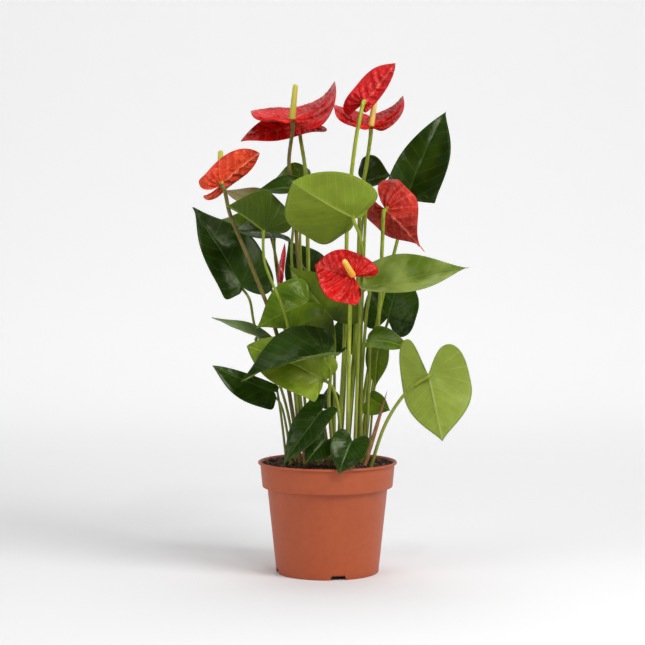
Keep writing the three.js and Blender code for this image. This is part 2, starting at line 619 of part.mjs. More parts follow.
function buildBloom(row) {
  const spathe = bladeSolid(row, SPATHE_SPOKES, SPATHE_RINGS, SPATHE_RIB, BLADE_THICKNESS);
  const clearance = roomAround(spathe, row);
  const [above] = stemEnd(row, -SPATHE_SPREAD / 2, 0);
  const stem = largestPiece(stemTube(flowerStemPoints(row), row.radius).subtract(clearance));
  const radii = Array.from({ length: SPADIX_RINGS }, (_, j) => {
    const share = j / (SPADIX_RINGS - 1);
    return SPADIX_RADIUS + (SPADIX_TIP_RADIUS - SPADIX_RADIUS) * share * share;
  });
  const rod = spindle(above, row.spadix, radii, SPADIX_SIDES, SPADIX_BUMP);
  const spadix = largestPiece(rod.subtract(clearance));
  return [
    meshOf(stem, `${row.name}_stem`, 'stem'),
    meshOf(spathe, `${row.name}_spathe`, 'red'),
    meshOf(spadix, `${row.name}_spadix`, 'spadix'),
  ];
}

// --- bud: a rolled spathe standing on its own stem ---
function buildBud() {
  const spathe = spindle(BUD_FOOT, BUD_TIP, BUD_RADII, BUD_SIDES, 0);
  const clearance = spindle(BUD_FOOT, BUD_TIP, widened(BUD_RADII), BUD_SIDES, 0);
  const stem = largestPiece(stemTube(BUD_STALK, BUD_STEM_RADIUS).subtract(clearance));
  return [meshOf(stem, 'bud_stem', 'stem'), meshOf(spathe, 'bud_spathe', 'red')];
}

// --- sheaths: pointed papery spikes at the foot of the stems ---
function buildSheath({ name, foot, tip }) {
  return meshOf(spindle(foot, tip, SHEATH_RADII, STEM_SIDES, 0), name, 'sheath');
}

// --- pot ---
function turned(profile) {
  const geometry = new THREE.LatheGeometry(profile.map(([r, z]) => new THREE.Vector2(r, z)), POT_SIDES);
  geometry.rotateX(Math.PI / 2);
  return solidOf(geometry);
}

function drainNotch(index) {
  const outer = POT_FOOT_RADIUS + 4;
  const depth = 8;
  const shape = new THREE.Shape([
    new THREE.Vector2(-NOTCH_WIDTH / 2, -1),
    new THREE.Vector2(NOTCH_WIDTH / 2, -1),
    new THREE.Vector2(NOTCH_TOP_WIDTH / 2, NOTCH_HEIGHT),
    new THREE.Vector2(-NOTCH_TOP_WIDTH / 2, NOTCH_HEIGHT),
  ]);
  const geometry = new THREE.ExtrudeGeometry(shape, { depth, bevelEnabled: false });
  geometry.rotateX(Math.PI / 2);
  geometry.translate(0, depth - outer, 0);
  geometry.rotateZ(THREE.MathUtils.degToRad(NOTCH_ANGLE) + 2 * Math.PI * index / NOTCH_COUNT);
  return solidOf(geometry);
}

function bodyRadius(z) {
  return POT_FOOT_RADIUS + (POT_BODY_TOP_RADIUS - POT_FOOT_RADIUS) * z / POT_COLLAR_Z;
}

function buildPot() {
  const lipUnder = POT_HEIGHT - POT_LIP_HEIGHT;
  const floor = POT_BASE_Z + POT_WALL;
  const shelf = POT_COLLAR_Z + POT_WALL;
  const profile = [
    [0, 0],
    [POT_PAD_RADIUS, 0],
    [POT_PAD_RADIUS + EDGE, POT_BASE_Z],
    [POT_FOOT_RADIUS - POT_FOOT_RING_WIDTH - EDGE, POT_BASE_Z],
    [POT_FOOT_RADIUS - POT_FOOT_RING_WIDTH, 0],
    [POT_FOOT_RADIUS - EDGE, 0],
    [POT_FOOT_RADIUS, EDGE],
    [POT_BODY_TOP_RADIUS, POT_COLLAR_Z - EDGE],
    [POT_BODY_TOP_RADIUS + EDGE, POT_COLLAR_Z],
    [POT_COLLAR_BOTTOM_RADIUS - EDGE, POT_COLLAR_Z],
    [POT_COLLAR_BOTTOM_RADIUS, POT_COLLAR_Z + EDGE],
    [POT_COLLAR_TOP_RADIUS, lipUnder],
    [POT_LIP_RADIUS - EDGE, lipUnder],
    [POT_LIP_RADIUS, lipUnder + EDGE],
    [POT_LIP_RADIUS, POT_HEIGHT - EDGE],
    [POT_LIP_RADIUS - EDGE, POT_HEIGHT],
    [POT_COLLAR_TOP_RADIUS + EDGE, POT_HEIGHT],
    [POT_COLLAR_TOP_RADIUS - POT_WALL, POT_HEIGHT - 2 * EDGE],
    [POT_COLLAR_BOTTOM_RADIUS - POT_WALL, shelf],
    [bodyRadius(shelf) - POT_WALL, shelf],
    [bodyRadius(floor) - POT_WALL, floor],
    [0, floor],
  ];
  const notches = Array.from({ length: NOTCH_COUNT }, (_, i) => drainNotch(i));
  const pot = notches.reduce((body, notch) => body.subtract(notch), turned(profile));
  return meshOf(pot, 'pot', 'pot');
}

// --- soil: fills the pot, its top is a lumpy mound with one hole for each stem ---
function soilLump(x, y) {
  const coarse = Math.sin(x / SOIL_LUMP_SPAN + 1.3) * Math.cos(y / SOIL_LUMP_SPAN - 0.4);
  const fine = Math.sin((x - y) / SOIL_CRUMB_SPAN + 2);
  return SOIL_LUMP * coarse + SOIL_CRUMB * fine;
}

function buildSoil(holes) {
  const shelf = POT_COLLAR_Z + POT_WALL;
  const floor = POT_BASE_Z + POT_WALL;
  const edge = POT_COLLAR_BOTTOM_RADIUS - POT_WALL - GAP
    + (POT_COLLAR_TOP_RADIUS - POT_COLLAR_BOTTOM_RADIUS) * (SOIL_EDGE_Z - shelf) / (POT_HEIGHT - shelf);
  const rings = [
    [bodyRadius(floor) - POT_WALL - 2 * GAP, floor + GAP, 0],
    [bodyRadius(shelf) - POT_WALL - 1.5 * GAP, shelf + GAP, 0],
    [POT_COLLAR_BOTTOM_RADIUS - POT_WALL - 1.5 * GAP, shelf + GAP, 0],
  ];
  for (let j = SOIL_RINGS; j > 0; j -= 1) {
    const share = j / SOIL_RINGS;
    rings.push([edge * share, SOIL_EDGE_Z + SOIL_MOUND * (1 - share * share), 1]);
  }
  const points = [new THREE.Vector3(0, 0, floor + GAP)];
  rings.forEach(([radius, z, lump]) => {
    for (let k = 0; k < POT_SIDES; k += 1) {
      const angle = 2 * Math.PI * k / POT_SIDES;
      const x = radius * Math.sin(angle);
      const y = radius * Math.cos(angle);
      points.push(new THREE.Vector3(x, y, z + lump * soilLump(x, y)));
    }
  });
  points.push(new THREE.Vector3(0, 0, SOIL_EDGE_Z + SOIL_MOUND));
  const top = points.length - 1;
  const faces = [];
  for (let k = 0; k < POT_SIDES; k += 1) {
    const next = (k + 1) % POT_SIDES;
    faces.push([0, 1 + k, 1 + next], [top, top - POT_SIDES + next, top - POT_SIDES + k]);
    for (let j = 0; j < rings.length - 1; j += 1) {
      const p = 1 + j * POT_SIDES;
      faces.push([p + k, p + next + POT_SIDES, p + next], [p + k, p + k + POT_SIDES, p + next + POT_SIDES]);
    }
  }
  const body = meshSolid(points, faces);
  return meshOf(body.subtract(wasm.Manifold.union(holes)), 'soil', 'soil');
}

// --- the whole plant ---
function buildPlant() {
  const holes = [
    ...leaves.map((row) => stemHole(petiolePoints(row), row.radius)),
    ...blooms.map((row) => stemHole(flowerStemPoints(row), row.radius)),
    stemHole(BUD_STALK, BUD_STEM_RADIUS),
    ...sheaths.map(({ foot, tip }) => spindle(foot, tip, widened(SHEATH_RADII), STEM_SIDES, 0)),
  ];
  const group = new THREE.Group();
  group.add(buildPot());
  group.add(buildSoil(holes));
  leaves.forEach((row) => group.add(buildLeaf(row)));
  blooms.forEach((row) => group.add(...buildBloom(row)));
  group.add(...buildBud());
  sheaths.forEach((row) => group.add(buildSheath(row)));
  return group;
}

export default buildPlant();
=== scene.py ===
# A flowering anthurium in its terracotta-coloured nursery pot. Metres, +Z up, front towards -Y.
import math

import bpy
import numpy as np
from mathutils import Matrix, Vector, noise


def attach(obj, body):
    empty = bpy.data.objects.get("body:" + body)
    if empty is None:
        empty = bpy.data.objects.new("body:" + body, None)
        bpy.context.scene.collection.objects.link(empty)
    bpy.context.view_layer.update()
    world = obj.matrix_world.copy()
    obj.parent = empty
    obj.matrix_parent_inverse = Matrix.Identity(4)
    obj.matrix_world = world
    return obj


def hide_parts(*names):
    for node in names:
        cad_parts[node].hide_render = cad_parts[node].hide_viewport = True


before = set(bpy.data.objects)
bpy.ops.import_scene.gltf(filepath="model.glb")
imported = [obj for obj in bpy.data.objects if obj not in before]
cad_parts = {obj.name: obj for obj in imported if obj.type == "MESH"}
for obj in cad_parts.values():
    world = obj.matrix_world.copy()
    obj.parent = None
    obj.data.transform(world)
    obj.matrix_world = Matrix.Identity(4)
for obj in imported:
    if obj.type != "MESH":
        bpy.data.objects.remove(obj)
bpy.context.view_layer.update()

# ---------------------------------------------------------------- pot
# The nursery pot: one thin wall of injection-moulded plastic with a stepped collar and a rolled lip.
# It stands on a foot ring and a small centre pad; four drain notches go through the ring and the wall's foot.
MM = 0.001
POT_SIDES = 144
POT_PROFILE = [
    (8.8, 0.0), (9.1, 0.2), (9.5, 2.2), (41.9, 2.2), (42.4, 0.4), (42.8, 0.0), (43.6, 0.0), (44.0, 0.2),
    (44.25, 0.7), (44.95, 7.5), (51.95, 73.6), (52.1, 73.9), (52.6, 74.0), (55.7, 74.0), (56.1, 74.2),
    (56.25, 74.7), (57.1, 83.0), (57.98, 93.6), (58.5, 93.75), (59.3, 93.75), (59.8, 94.0), (60.0, 94.6),
    (59.95, 95.3), (59.6, 95.8), (59.0, 96.0), (58.4, 95.9), (57.7, 95.4), (57.0, 94.4), (56.8, 93.0),
    (55.0, 75.4), (54.7, 75.2), (51.3, 75.2), (50.9, 74.8), (43.6, 4.4), (43.2, 3.6), (42.6, 3.4),
]
POT_CREASE = math.radians(32)
NOTCHES = 4
NOTCH_TURN = math.radians(12)
NOTCH_FOOT_HALF = 7.3
NOTCH_TOP_HALF = 5.6
NOTCH_FOOT = -1
NOTCH_TOP = 4.1
NOTCH_MIDDLE = 44
NOTCH_LENGTH = 10
POT_RELIEF = 0.00008


def select_only(piece):
    bpy.ops.object.select_all(action="DESELECT")
    piece.select_set(True)
    bpy.context.view_layer.objects.active = piece


def face_outwards():
    bpy.ops.mesh.select_all(action="SELECT")
    bpy.ops.mesh.normals_make_consistent(inside=False)
    bpy.ops.object.mode_set(mode="OBJECT")


def filled_disc(name, sides, radius, height):
    """A flat disc at that height, ready for its rim to be carried on in edit mode."""
    bpy.ops.object.select_all(action="DESELECT")
    bpy.ops.mesh.primitive_circle_add(
        vertices=sides, radius=radius * MM, fill_type="NGON", location=(0, 0, height * MM))
    disc = bpy.context.object
    disc.name = name
    bpy.ops.object.transform_apply(location=True, rotation=True, scale=True)
    bpy.ops.object.mode_set(mode="EDIT")
    bpy.ops.mesh.select_all(action="SELECT")
    return disc


def next_ring(rise, spread, height):
    """Carries the selected rim up by rise and out by spread, to that height."""
    bpy.ops.mesh.extrude_region_move(TRANSFORM_OT_translate={"value": (0, 0, rise * MM)})
    bpy.ops.transform.resize(value=(spread, spread, 1), center_override=(0, 0, height * MM))


def turned(name, profile, sides):
    """A solid of revolution: a filled disc carried up the profile, ring by ring."""
    radius, height = profile[0]
    piece = filled_disc(name, sides, radius, height)
    for next_radius, next_height in profile[1:]:
        next_ring(next_height - height, next_radius / radius, next_height)
        radius, height = next_radius, next_height
    face_outwards()
    return piece


def cut_notch(pot, turn):
    """One drain notch: a block with slanting sides, taken out of the foot at that turn."""
    bpy.ops.object.select_all(action="DESELECT")
    bpy.ops.mesh.primitive_cube_add(size=1, location=(0, 0, 0))
    block = bpy.context.object
    for vertex in block.data.vertices:
        half, height = (NOTCH_TOP_HALF, NOTCH_TOP) if vertex.co.z > 0 else (NOTCH_FOOT_HALF, NOTCH_FOOT)
        across = math.copysign(half, vertex.co.x) * MM
        out = -(NOTCH_MIDDLE + NOTCH_LENGTH * vertex.co.y) * MM
        vertex.co = (
            across * math.cos(turn) - out * math.sin(turn),
            across * math.sin(turn) + out * math.cos(turn),
            height * MM)
    select_only(block)
    bpy.ops.object.mode_set(mode="EDIT")
    face_outwards()
    cutter = pot.modifiers.new("notch", "BOOLEAN")
    cutter.operation = "DIFFERENCE"
    cutter.solver = "EXACT"
    cutter.object = block
    select_only(pot)
    bpy.ops.object.modifier_apply(modifier=cutter.name)
    bpy.data.objects.remove(block)


def srgb(red, green, blue):
    """A colour given in 0 to 255, as the linear colour that a shader socket takes."""
    def linear(value):
        share = value / 255
        return share / 12.92 if share <= 0.04045 else ((share + 0.055) / 1.055) ** 2.4
    return (linear(red), linear(green), linear(blue), 1.0)


class Tint:
    """One value in a material, which takes part in sums as a number does."""

    def __init__(self, tree, socket=None):
        self.tree = tree
        self.socket = socket

    def node(self, kind, sockets, settings=None, out=0):
        """Adds a node: its settings first, then a value or a link for each named or numbered socket."""
        made = self.tree.nodes.new(kind)
        for name, value in (settings or {}).items():
            setattr(made, name, value)
        for name, value in sockets.items():
            if isinstance(value, Tint):
                self.tree.links.new(value.socket, made.inputs[name])
            else:
                made.inputs[name].default_value = value
        return Tint(self.tree, made.outputs[out])

    def sum_with(self, operation, first, second=0.0):
        return self.node("ShaderNodeMath", {0: first, 1: second}, {"operation": operation})

    def __add__(self, other):
        return self.sum_with("ADD", self, other)

    __radd__ = __add__

    def __sub__(self, other):
        return self.sum_with("SUBTRACT", self, other)

    def __rsub__(self, other):
        return self.sum_with("SUBTRACT", other, self)

    def __mul__(self, other):
        return self.sum_with("MULTIPLY", self, other)

    __rmul__ = __mul__

    def magnitude(self):
        return self.sum_with("ABSOLUTE", self)

    def rise(self, start, end):
        """0 at start, 1 at end, smooth between them; start may be the larger one."""
        return self.node(
            "ShaderNodeMapRange",
            {"Value": self, "From Min": start, "From Max": end, "To Min": 0.0, "To Max": 1.0},
            {"interpolation_type": "SMOOTHSTEP"})

    def blend(self, low, high):
        """The colour low where this value is 0 and high where it is 1."""
        return self.node("ShaderNodeMix", {0: self, 6: low, 7: high}, {"data_type": "RGBA"}, out=2)

    def grain(self, place, size, detail=2.0, roughness=0.5):
        """Cloudy noise from 0 to 1 with spots of that size, in metres."""
        return self.node(
            "ShaderNodeTexNoise",
            {"Vector": place, "Scale": 1 / size, "Detail": detail, "Roughness": roughness})

    def parts(self):
        """The three numbers of a vector."""
        return [self.node("ShaderNodeSeparateXYZ", {0: self}, out=axis) for axis in range(3)]


def new_finish(name):
    """An empty material, with the start of its sums and the place of each point on the object."""
    finish = bpy.data.materials.new(name)
    finish.use_nodes = True
    start = Tint(finish.node_tree)
    place = start.node("ShaderNodeTexCoord", {}, out="Object")
    return finish, start, place


def coat(finish, colour, roughness, relief=None, depth=0.001, **more):
    """Ends a material: its values may vary or be fixed, relief is a height in units of depth."""
    shader = finish.node_tree.nodes["Principled BSDF"]
    links = finish.node_tree.links
    for name, value in {"Base_Color": colour, "Roughness": roughness, **more}.items():
        socket = shader.inputs[name.replace("_", " ")]
        if isinstance(value, Tint):
            links.new(value.socket, socket)
        else:
            socket.default_value = value
    if relief is not None:
        bump = relief.node("ShaderNodeBump", {"Height": relief, "Strength": 1.0, "Distance": depth})
        links.new(bump.socket, shader.inputs["Normal"])
    return finish


def place_piece(piece, slot, *nodes):
    """The piece rides on the body and stands in for its nodes; slot is not used."""
    select_only(piece)
    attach(piece, "root")
    if nodes:
        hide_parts(*nodes)


pot_finish, start, place = new_finish("moulded_terracotta")
cloud = start.grain(place, 0.03, 3.0)
flow = start.grain(place, 0.006, 4.0, 0.6)
skin = start.grain(place, 0.0007, 2.0)
pot_colour = cloud.blend(srgb(164, 74, 38), srgb(178, 86, 46))
pot_colour = (flow.rise(0.35, 0.75) * 0.35).blend(pot_colour, srgb(154, 66, 33))
coat(pot_finish, pot_colour, 0.42 + 0.12 * cloud, skin * 0.7 + flow * 0.6, POT_RELIEF, Specular_IOR_Level=0.4)

pot = turned("nursery_pot", POT_PROFILE, POT_SIDES)
for quarter in range(NOTCHES):
    cut_notch(pot, NOTCH_TURN + quarter * 2 * math.pi / NOTCHES)
select_only(pot)
bpy.ops.object.shade_smooth_by_angle(angle=POT_CREASE)
pot.data.materials.append(pot_finish)
place_piece(pot, "pot", "pot")

# ---------------------------------------------------------------- soil
# Dark moist peat, filled nearly to the rim and heaped round the stems.
# Lumps and crumbs, light bark chips and pale root fibres lie loose on it.
SOIL_EDGE = 56.2
SOIL_EDGE_Z = 93.0
SOIL_MOUND = 1.6
SOIL_FLOOR_Z = 76.0
SOIL_SIDES = 160
SOIL_RINGS = 64
SOIL_CREASE = math.radians(60)
SOIL_RIPPLE = 0.8
SOIL_CLODS = ((5.0, 1.3), (2.2, 0.9), (0.9, 0.4))
CLEAR_OF_SOIL = 0.15
LUMPS = 150
CRUMBS = 1100
CHIPS = 60
CHIP_CORNERS = [
    (-1, -0.4, -0.2), (1.1, -0.3, -0.15), (0.9, 0.4, -0.2), (-0.9, 0.35, -0.2),
    (-0.8, -0.3, 0.2), (0.9, -0.2, 0.25), (0.7, 0.3, 0.2), (-0.7, 0.25, 0.15)]
CHIP_FACES = [(3, 2, 1, 0), (4, 5, 6, 7), (0, 1, 5, 4), (1, 2, 6, 5), (2, 3, 7, 6), (3, 0, 4, 7)]
FIBRES = 190
FIBRE_RADIUS = 0.16
FIBRE_SPREAD = 54
FIBRE_EDGE = 55.5
FIBRE_LENGTHS = (3, 11)
FIBRE_LIFTS = (0.2, 2.6)
FIBRE_BEND = 1.4
FIBRE_STEPS = 5
rng = np.random.default_rng(12)


def soil_height(x, y):
    share = math.hypot(x, y) / SOIL_EDGE
    height = SOIL_EDGE_Z + SOIL_MOUND * (1 - share * share)
    height += SOIL_RIPPLE * math.sin(x / 3 + 1.3) * math.cos(y / 3 - 0.4)
    for size, lift in SOIL_CLODS:
        height += lift * noise.noise(Vector((x / size, y / size, size)))
    return height


def make_bed():
    """The heaped surface: a disc of fine rings lifted into lumps, with a skirt down inside the pot."""
    bed = filled_disc("peat", SOIL_SIDES, SOIL_EDGE, SOIL_FLOOR_Z)
    bpy.ops.mesh.extrude_region_move(
        TRANSFORM_OT_translate={"value": (0, 0, (SOIL_EDGE_Z - SOIL_FLOOR_Z) * MM)})
    for ring in range(1, SOIL_RINGS):
        before = 1 - (ring - 1) / SOIL_RINGS
        after = 1 - ring / SOIL_RINGS
        next_ring(0, after / before, SOIL_EDGE_Z)
    face_outwards()
    for vertex in bed.data.vertices:
        if vertex.co.z > (SOIL_FLOOR_Z + 1) * MM:
            vertex.co.z = soil_height(vertex.co.x / MM, vertex.co.y / MM) * MM
    return bed


def spin_about(axis, turn):
    """A turn about x or z, as a matrix."""
    cos, sin = math.cos(turn), math.sin(turn)
    if axis == "x":
        return np.array([[1, 0, 0], [0, cos, -sin], [0, sin, cos]])
    return np.array([[cos, -sin, 0], [sin, cos, 0], [0, 0, 1]])


def scatter(name, shape, faces, count, spread, size, stretch):
    """Copies of one small shape, each turned, sized and laid on the peat, as one mesh."""
    corners = []
    joined = []
    for _ in range(count):
        angle = rng.uniform(0, 2 * math.pi)
        reach = spread * math.sqrt(rng.uniform(0, 1))
        x = reach * math.cos(angle)
        y = reach * math.sin(angle)
        scale = rng.uniform(*size) * np.array([1, rng.uniform(*stretch), rng.uniform(0.5, 0.9)])
        roll = rng.uniform(-0.6, 0.6, 2)
        turn = rng.uniform(0, 2 * math.pi)
        points = (shape * scale) @ spin_about("x", roll[0]).T @ spin_about("z", turn).T
        first = len(corners)
        ground = soil_height(x, y) + CLEAR_OF_SOIL
        corners += [((p[0] + x) * MM, (p[1] + y) * MM, (p[2] + ground) * MM) for p in points]
        joined += [tuple(first + corner for corner in face) for face in faces]
    mesh = bpy.data.meshes.new(name)
    mesh.from_pydata(corners, [], joined)
    piece = bpy.data.objects.new(name, mesh)
    bpy.context.collection.objects.link(piece)
    return piece


def lump_shape():
    bpy.ops.object.select_all(action="DESELECT")
    bpy.ops.mesh.primitive_ico_sphere_add(subdivisions=1, radius=1)
    ball = bpy.context.object
    points = np.array([vertex.co[:] for vertex in ball.data.vertices])
    points *= 1 + 0.25 * np.array([noise.noise(Vector(p) * 1.7) for p in points])[:, None]
    faces = [tuple(face.vertices) for face in ball.data.polygons]
    bpy.data.objects.remove(ball)
    return points, faces


def new_curve(name, radius, roundness):
    """An empty curve that turns into a round rod, closed at both ends."""
    curve = bpy.data.curves.new(name, "CURVE")
    curve.dimensions = "3D"
    curve.bevel_depth = radius * MM
    curve.bevel_resolution = roundness
    curve.use_fill_caps = True
    return curve


def as_mesh(name, curve):
    piece = bpy.data.objects.new(name, curve)
    bpy.context.collection.objects.link(piece)
    select_only(piece)
    bpy.ops.object.convert(target="MESH")
    return bpy.context.object


def fibre_strands(name, count):
    """Thin root fibres lying on the peat, some of them bent up at an end."""
    curve = new_curve(name, FIBRE_RADIUS, 1)
    for _ in range(count):
        angle = rng.uniform(0, 2 * math.pi)
        reach = FIBRE_SPREAD * math.sqrt(rng.uniform(0, 1))
        x, y = reach * math.cos(angle), reach * math.sin(angle)
        heading = rng.uniform(0, 2 * math.pi)
        length = rng.uniform(*FIBRE_LENGTHS)
        lift = rng.uniform(*FIBRE_LIFTS) * rng.uniform(0, 1)
        bend = rng.uniform(-FIBRE_BEND, FIBRE_BEND)
        spline = curve.splines.new("POLY")
        spline.points.add(FIBRE_STEPS)
        for k, point in enumerate(spline.points):
            share = k / FIBRE_STEPS
            px = x + length * share * math.cos(heading + bend * share)
            py = y + length * share * math.sin(heading + bend * share)
            limit = min(1, FIBRE_EDGE / math.hypot(px, py))
            px, py = px * limit, py * limit
            height = soil_height(px, py) + 0.25 + lift * 4 * share * (1 - 0.4 * share) * share
            point.co = (px * MM, py * MM, height * MM, 1)
    return as_mesh(name, curve)


def speckled_finish(name, size, detail, dark, light, roughness, depth=None):
    """Two colours in soft patches of that size, with a little relief where depth is given."""
    finish, start, place = new_finish(name)
    patch = start.grain(place, size, detail)
    colour = patch.rise(0.35, 0.65).blend(srgb(*dark), srgb(*light))
    return coat(finish, colour, roughness, patch if depth else None, depth)


peat_finish, start, place = new_finish("moist_peat")
lump = start.grain(place, 0.004, 4.0, 0.6)
speck = start.grain(place, 0.0012, 3.0)
peat_colour = lump.rise(0.35, 0.7).blend(srgb(26, 13, 9), srgb(66, 37, 26))
peat_colour = (speck.rise(0.60, 0.72) * 0.6).blend(peat_colour, srgb(132, 92, 66))
coat(peat_finish, peat_colour, 0.9, lump + speck * 0.5, 0.0012)
crumb_finish = speckled_finish("peat_crumbs", 0.003, 3.0, (30, 16, 11), (84, 52, 37), 0.9, 0.0005)
chip_finish = speckled_finish("bark_chips", 0.005, 3.0, (120, 86, 58), (186, 152, 114), 0.8, 0.0003)
fibre_finish = speckled_finish("root_fibres", 0.006, 2.0, (96, 62, 40), (186, 148, 108), 0.8)

bed = make_bed()
crumbs = scatter("peat_crumbs", *lump_shape(), CRUMBS, 55, (0.5, 1.7), (0.7, 1.3))
lumps = scatter("peat_lumps", *lump_shape(), LUMPS, 53, (1.8, 3.4), (0.7, 1.4))
chips = scatter("bark_chips", np.array(CHIP_CORNERS), CHIP_FACES, CHIPS, 54, (0.8, 2.2), (0.6, 1.4))
fibres = fibre_strands("root_fibres", FIBRES)
select_only(bed)
bpy.ops.object.shade_smooth_by_angle(angle=SOIL_CREASE)
bed.data.materials.append(peat_finish)
place_piece(bed, "soil", "soil")
for loose, finish in (
        (lumps, peat_finish), (crumbs, crumb_finish), (chips, chip_finish), (fibres, fibre_finish)):
    loose.data.materials.append(finish)
    place_piece(loose, "soil")

# ---------------------------------------------------------------- leaves
# Each leaf is one heart-shaped blade, waxy above and matte below, on a round petiole that thickens to a
# joint under the blade. The veins run from the joint: a midrib, curved side veins, and one along the margin.
ROW_PARTS = ("name", "tone", "at", "tip", "face", "left", "right", "stalk")
USUAL_BLADE = {"radius": 1.3, "arch": 0.3, "curl": 0.3, "twist": 0, "blunt": 0, "wave": 1, "waves": (6.5, 0)}
